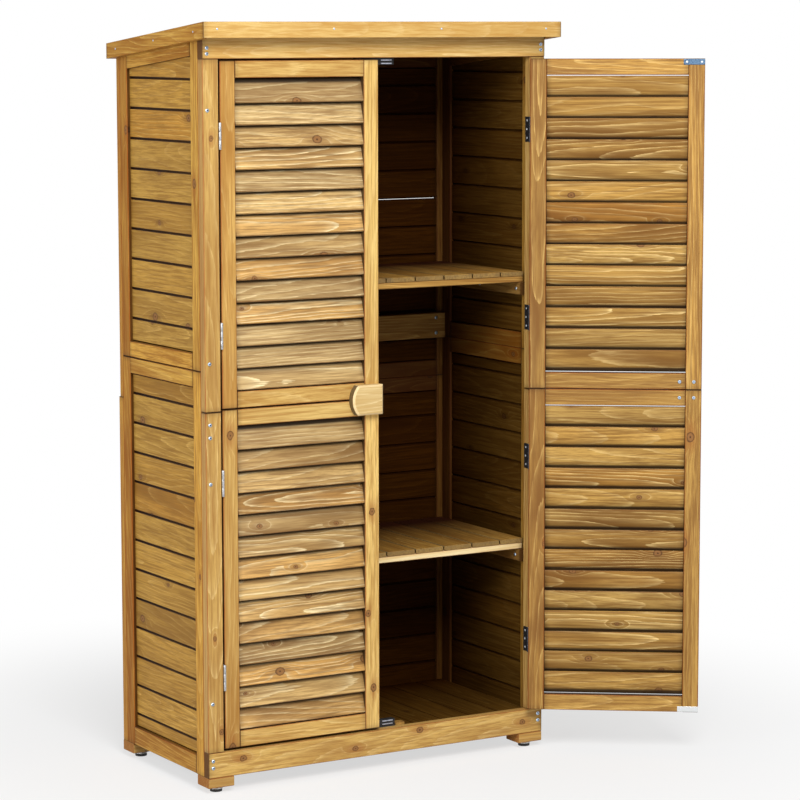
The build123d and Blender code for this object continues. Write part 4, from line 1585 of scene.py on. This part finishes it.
@dataclass(frozen=True)
class Lamp:
    """A soft square lamp: where it hangs, what it points at, its edge length and its power in watts."""

    name: str
    place: tuple[float, float, float]
    target: tuple[float, float, float]
    size: float
    power: float

    def hang(self) -> None:
        """Hangs the lamp in the studio."""
        light = bpy.data.lights.new(self.name, "AREA")
        light.size = self.size
        light.energy = self.power
        lamp = bpy.data.objects.new(self.name, light)
        ahead = Vector(self.target) - Vector(self.place)
        lamp.location = Vector(self.place)
        lamp.rotation_euler = ahead.to_track_quat("-Z", "Y").to_euler()
        bpy.context.scene.collection.objects.link(lamp)


@dataclass
class Studio:
    """Floor, light and camera.

    Attributes:
        eye: Where the camera stands.
        yaw: How far it looks to the right, in degrees.
        pitch: How far it looks down, in degrees.
        roll: How far it is turned about its axis, in degrees.
        sensor: Width of its sensor in millimetres.
        focal_length: Its focal length in pixels of the picture.
        picture: Width of the picture in pixels.
        sight: How far it sees.
        lamps: The lamps.
        room_light: Strength of the light from all round.
        paper: Grey of the floor.
        floor_size: How far the floor reaches.
        floor_glow: How white the floor is under the object, from zero to one.
        floor_fade: Where the floor starts to turn white, and where it is white.
    """

    eye: tuple[float, float, float] = (-3.192013, -5.619753, 1.596571)
    yaw: float = 30.9021
    pitch: float = 7.1477
    roll: float = -0.08
    sensor: float = 36.0
    focal_length: float = 2966.468
    picture: float = 800.0
    sight: float = 200.0
    lamps: tuple[Lamp, ...] = (Lamp("key", (-1.2, -3.7, 3.6), (0.0, -0.1, 0.8), 2.0, 185.0),
                               Lamp("side", (-4.2, -1.2, 2.0), (0.0, 0.0, 0.8), 2.4, 72.0))
    room_light: float = 0.24
    paper: float = 0.85
    floor_size: float = 40.0
    floor_glow: float = 0.65
    floor_fade: tuple[float, float] = (0.5, 1.7)

    def build(self) -> None:
        """Sets up the studio."""
        bpy.context.scene.view_settings.view_transform = "Standard"
        self._world()
        self._floor()
        for lamp in self.lamps:
            lamp.hang()
        self._camera()

    def _world(self) -> None:
        """White round the object for the camera and reflections, and a plain level of light."""
        world = bpy.data.worlds.new("studio")
        bpy.context.scene.world = world
        world.use_nodes = True
        g = ShaderGraph(world.node_tree)
        room = g.node("ShaderNodeBackground", None,
                      {"Color": (1.0, 0.99, 0.97, 1.0), "Strength": self.room_light})
        white = g.node("ShaderNodeBackground", None, {"Color": (1.0, 1.0, 1.0, 1.0), "Strength": 1.0})
        mix = g.node("ShaderNodeMixShader", None, {0: g.seen(), 1: room.out(0), 2: white.out(0)})
        g.node("ShaderNodeOutputWorld", None, {"Surface": mix.out(0)})

    def _floor(self) -> None:
        """A pale floor that keeps the shadow and ends in white."""
        bm = bmesh.new()
        bmesh.ops.create_grid(bm, x_segments=1, y_segments=1, size=self.floor_size)
        mesh = bpy.data.meshes.new("studio_floor")
        bm.to_mesh(mesh)
        bm.free()
        mesh.materials.append(self._paper())
        floor = bpy.data.objects.new("studio_floor", mesh)
        bpy.context.scene.collection.objects.link(floor)

    def _paper(self) -> bpy.types.Material:
        """Pale paper that turns white away from the object.

        Returns:
            The material of the floor.
        """
        material, g = new_material("studio_paper")
        x, y, _ = g.split(g.node("ShaderNodeTexCoord").out("Object"))
        away = ((x * x + y * y) ** 0.5).step(*self.floor_fade)
        paper = g.node("ShaderNodeBsdfDiffuse", None, {"Color": (self.paper, self.paper, self.paper, 1.0)})
        glow = g.node("ShaderNodeEmission", None, {"Color": (1.0, 1.0, 1.0, 1.0), "Strength": 1.0})
        share = g.seen() * (self.floor_glow + away * (1.0 - self.floor_glow))
        mix = g.node("ShaderNodeMixShader", None, {0: share, 1: paper.out(0), 2: glow.out(0)})
        g.node("ShaderNodeOutputMaterial", None, {"Surface": mix.out(0)})
        return material

    def _camera(self) -> None:
        """Stands the camera where the photograph was taken."""
        yaw, pitch, roll = (math.radians(a) for a in (self.yaw, self.pitch, self.roll))
        ahead = Vector((math.sin(yaw) * math.cos(pitch), math.cos(yaw) * math.cos(pitch), -math.sin(pitch)))
        right = Vector((math.cos(yaw), -math.sin(yaw), 0.0))
        up = right.cross(ahead)
        across = right * math.cos(roll) + up * math.sin(roll)
        upward = up * math.cos(roll) - right * math.sin(roll)
        turn = Matrix((across, upward, -ahead)).transposed()
        data = bpy.data.cameras.new("camera")
        data.lens = self.sensor * self.focal_length / self.picture
        data.sensor_width = self.sensor
        data.clip_end = self.sight
        camera = bpy.data.objects.new("camera", data)
        camera.matrix_world = Matrix.Translation(self.eye) @ turn.to_4x4()
        bpy.context.scene.collection.objects.link(camera)
        bpy.context.scene.camera = camera


def corners(box: Sequence[Iterable[float]]) -> list[list[float]]:
    """The corners of a box as plain numbers."""
    return [[float(c) for c in corner] for corner in box]


def main() -> None:
    """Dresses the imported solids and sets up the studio."""
    logging.basicConfig(level=logging.INFO, format="%(name)s: %(message)s")
    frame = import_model()
    record = frame["record"]
    slots = {part["node"]: part["material_slot"] for part in record["subparts"]}
    bodies = {node: body for body, members in record["behaviour"]["bodies"].items() for node in members}
    shop = Workshop(frame["nodes"], slots, bodies)
    pins = {joint["name"]: Vector(joint["pos_m"]) for joint in frame["joints"] if "pos_m" in joint}

    Carcass(shop).build()
    Roof(shop).build()
    Hardware(shop).build()
    Door(shop, "left_door", DoorHang(-1, 0.0, pins["left_door_hinge"])).build()
    # The open door takes the browner finishes as painted shade.
    Door(shop, "right_door", DoorHang(1, 144.0, pins["right_door_hinge"]), tone=0.45,
         tones=(0.45, 0.6, 0.25, 0.9), frame_finish=Finish.OPEN_DOOR, slat_finish=Finish.OPEN_LOUVRE,
         figured=0.5, flamed=3, parted=False).build()
    Shelf(shop, "upper_shelf", Finish.INNER, 0.25).build()
    # The lower shelf's battens take the pale finish as painted light.
    Shelf(shop, "lower_shelf", Finish.BATTEN, 0.0).build()
    Studio().build()


if __name__ == "__main__":
    main()
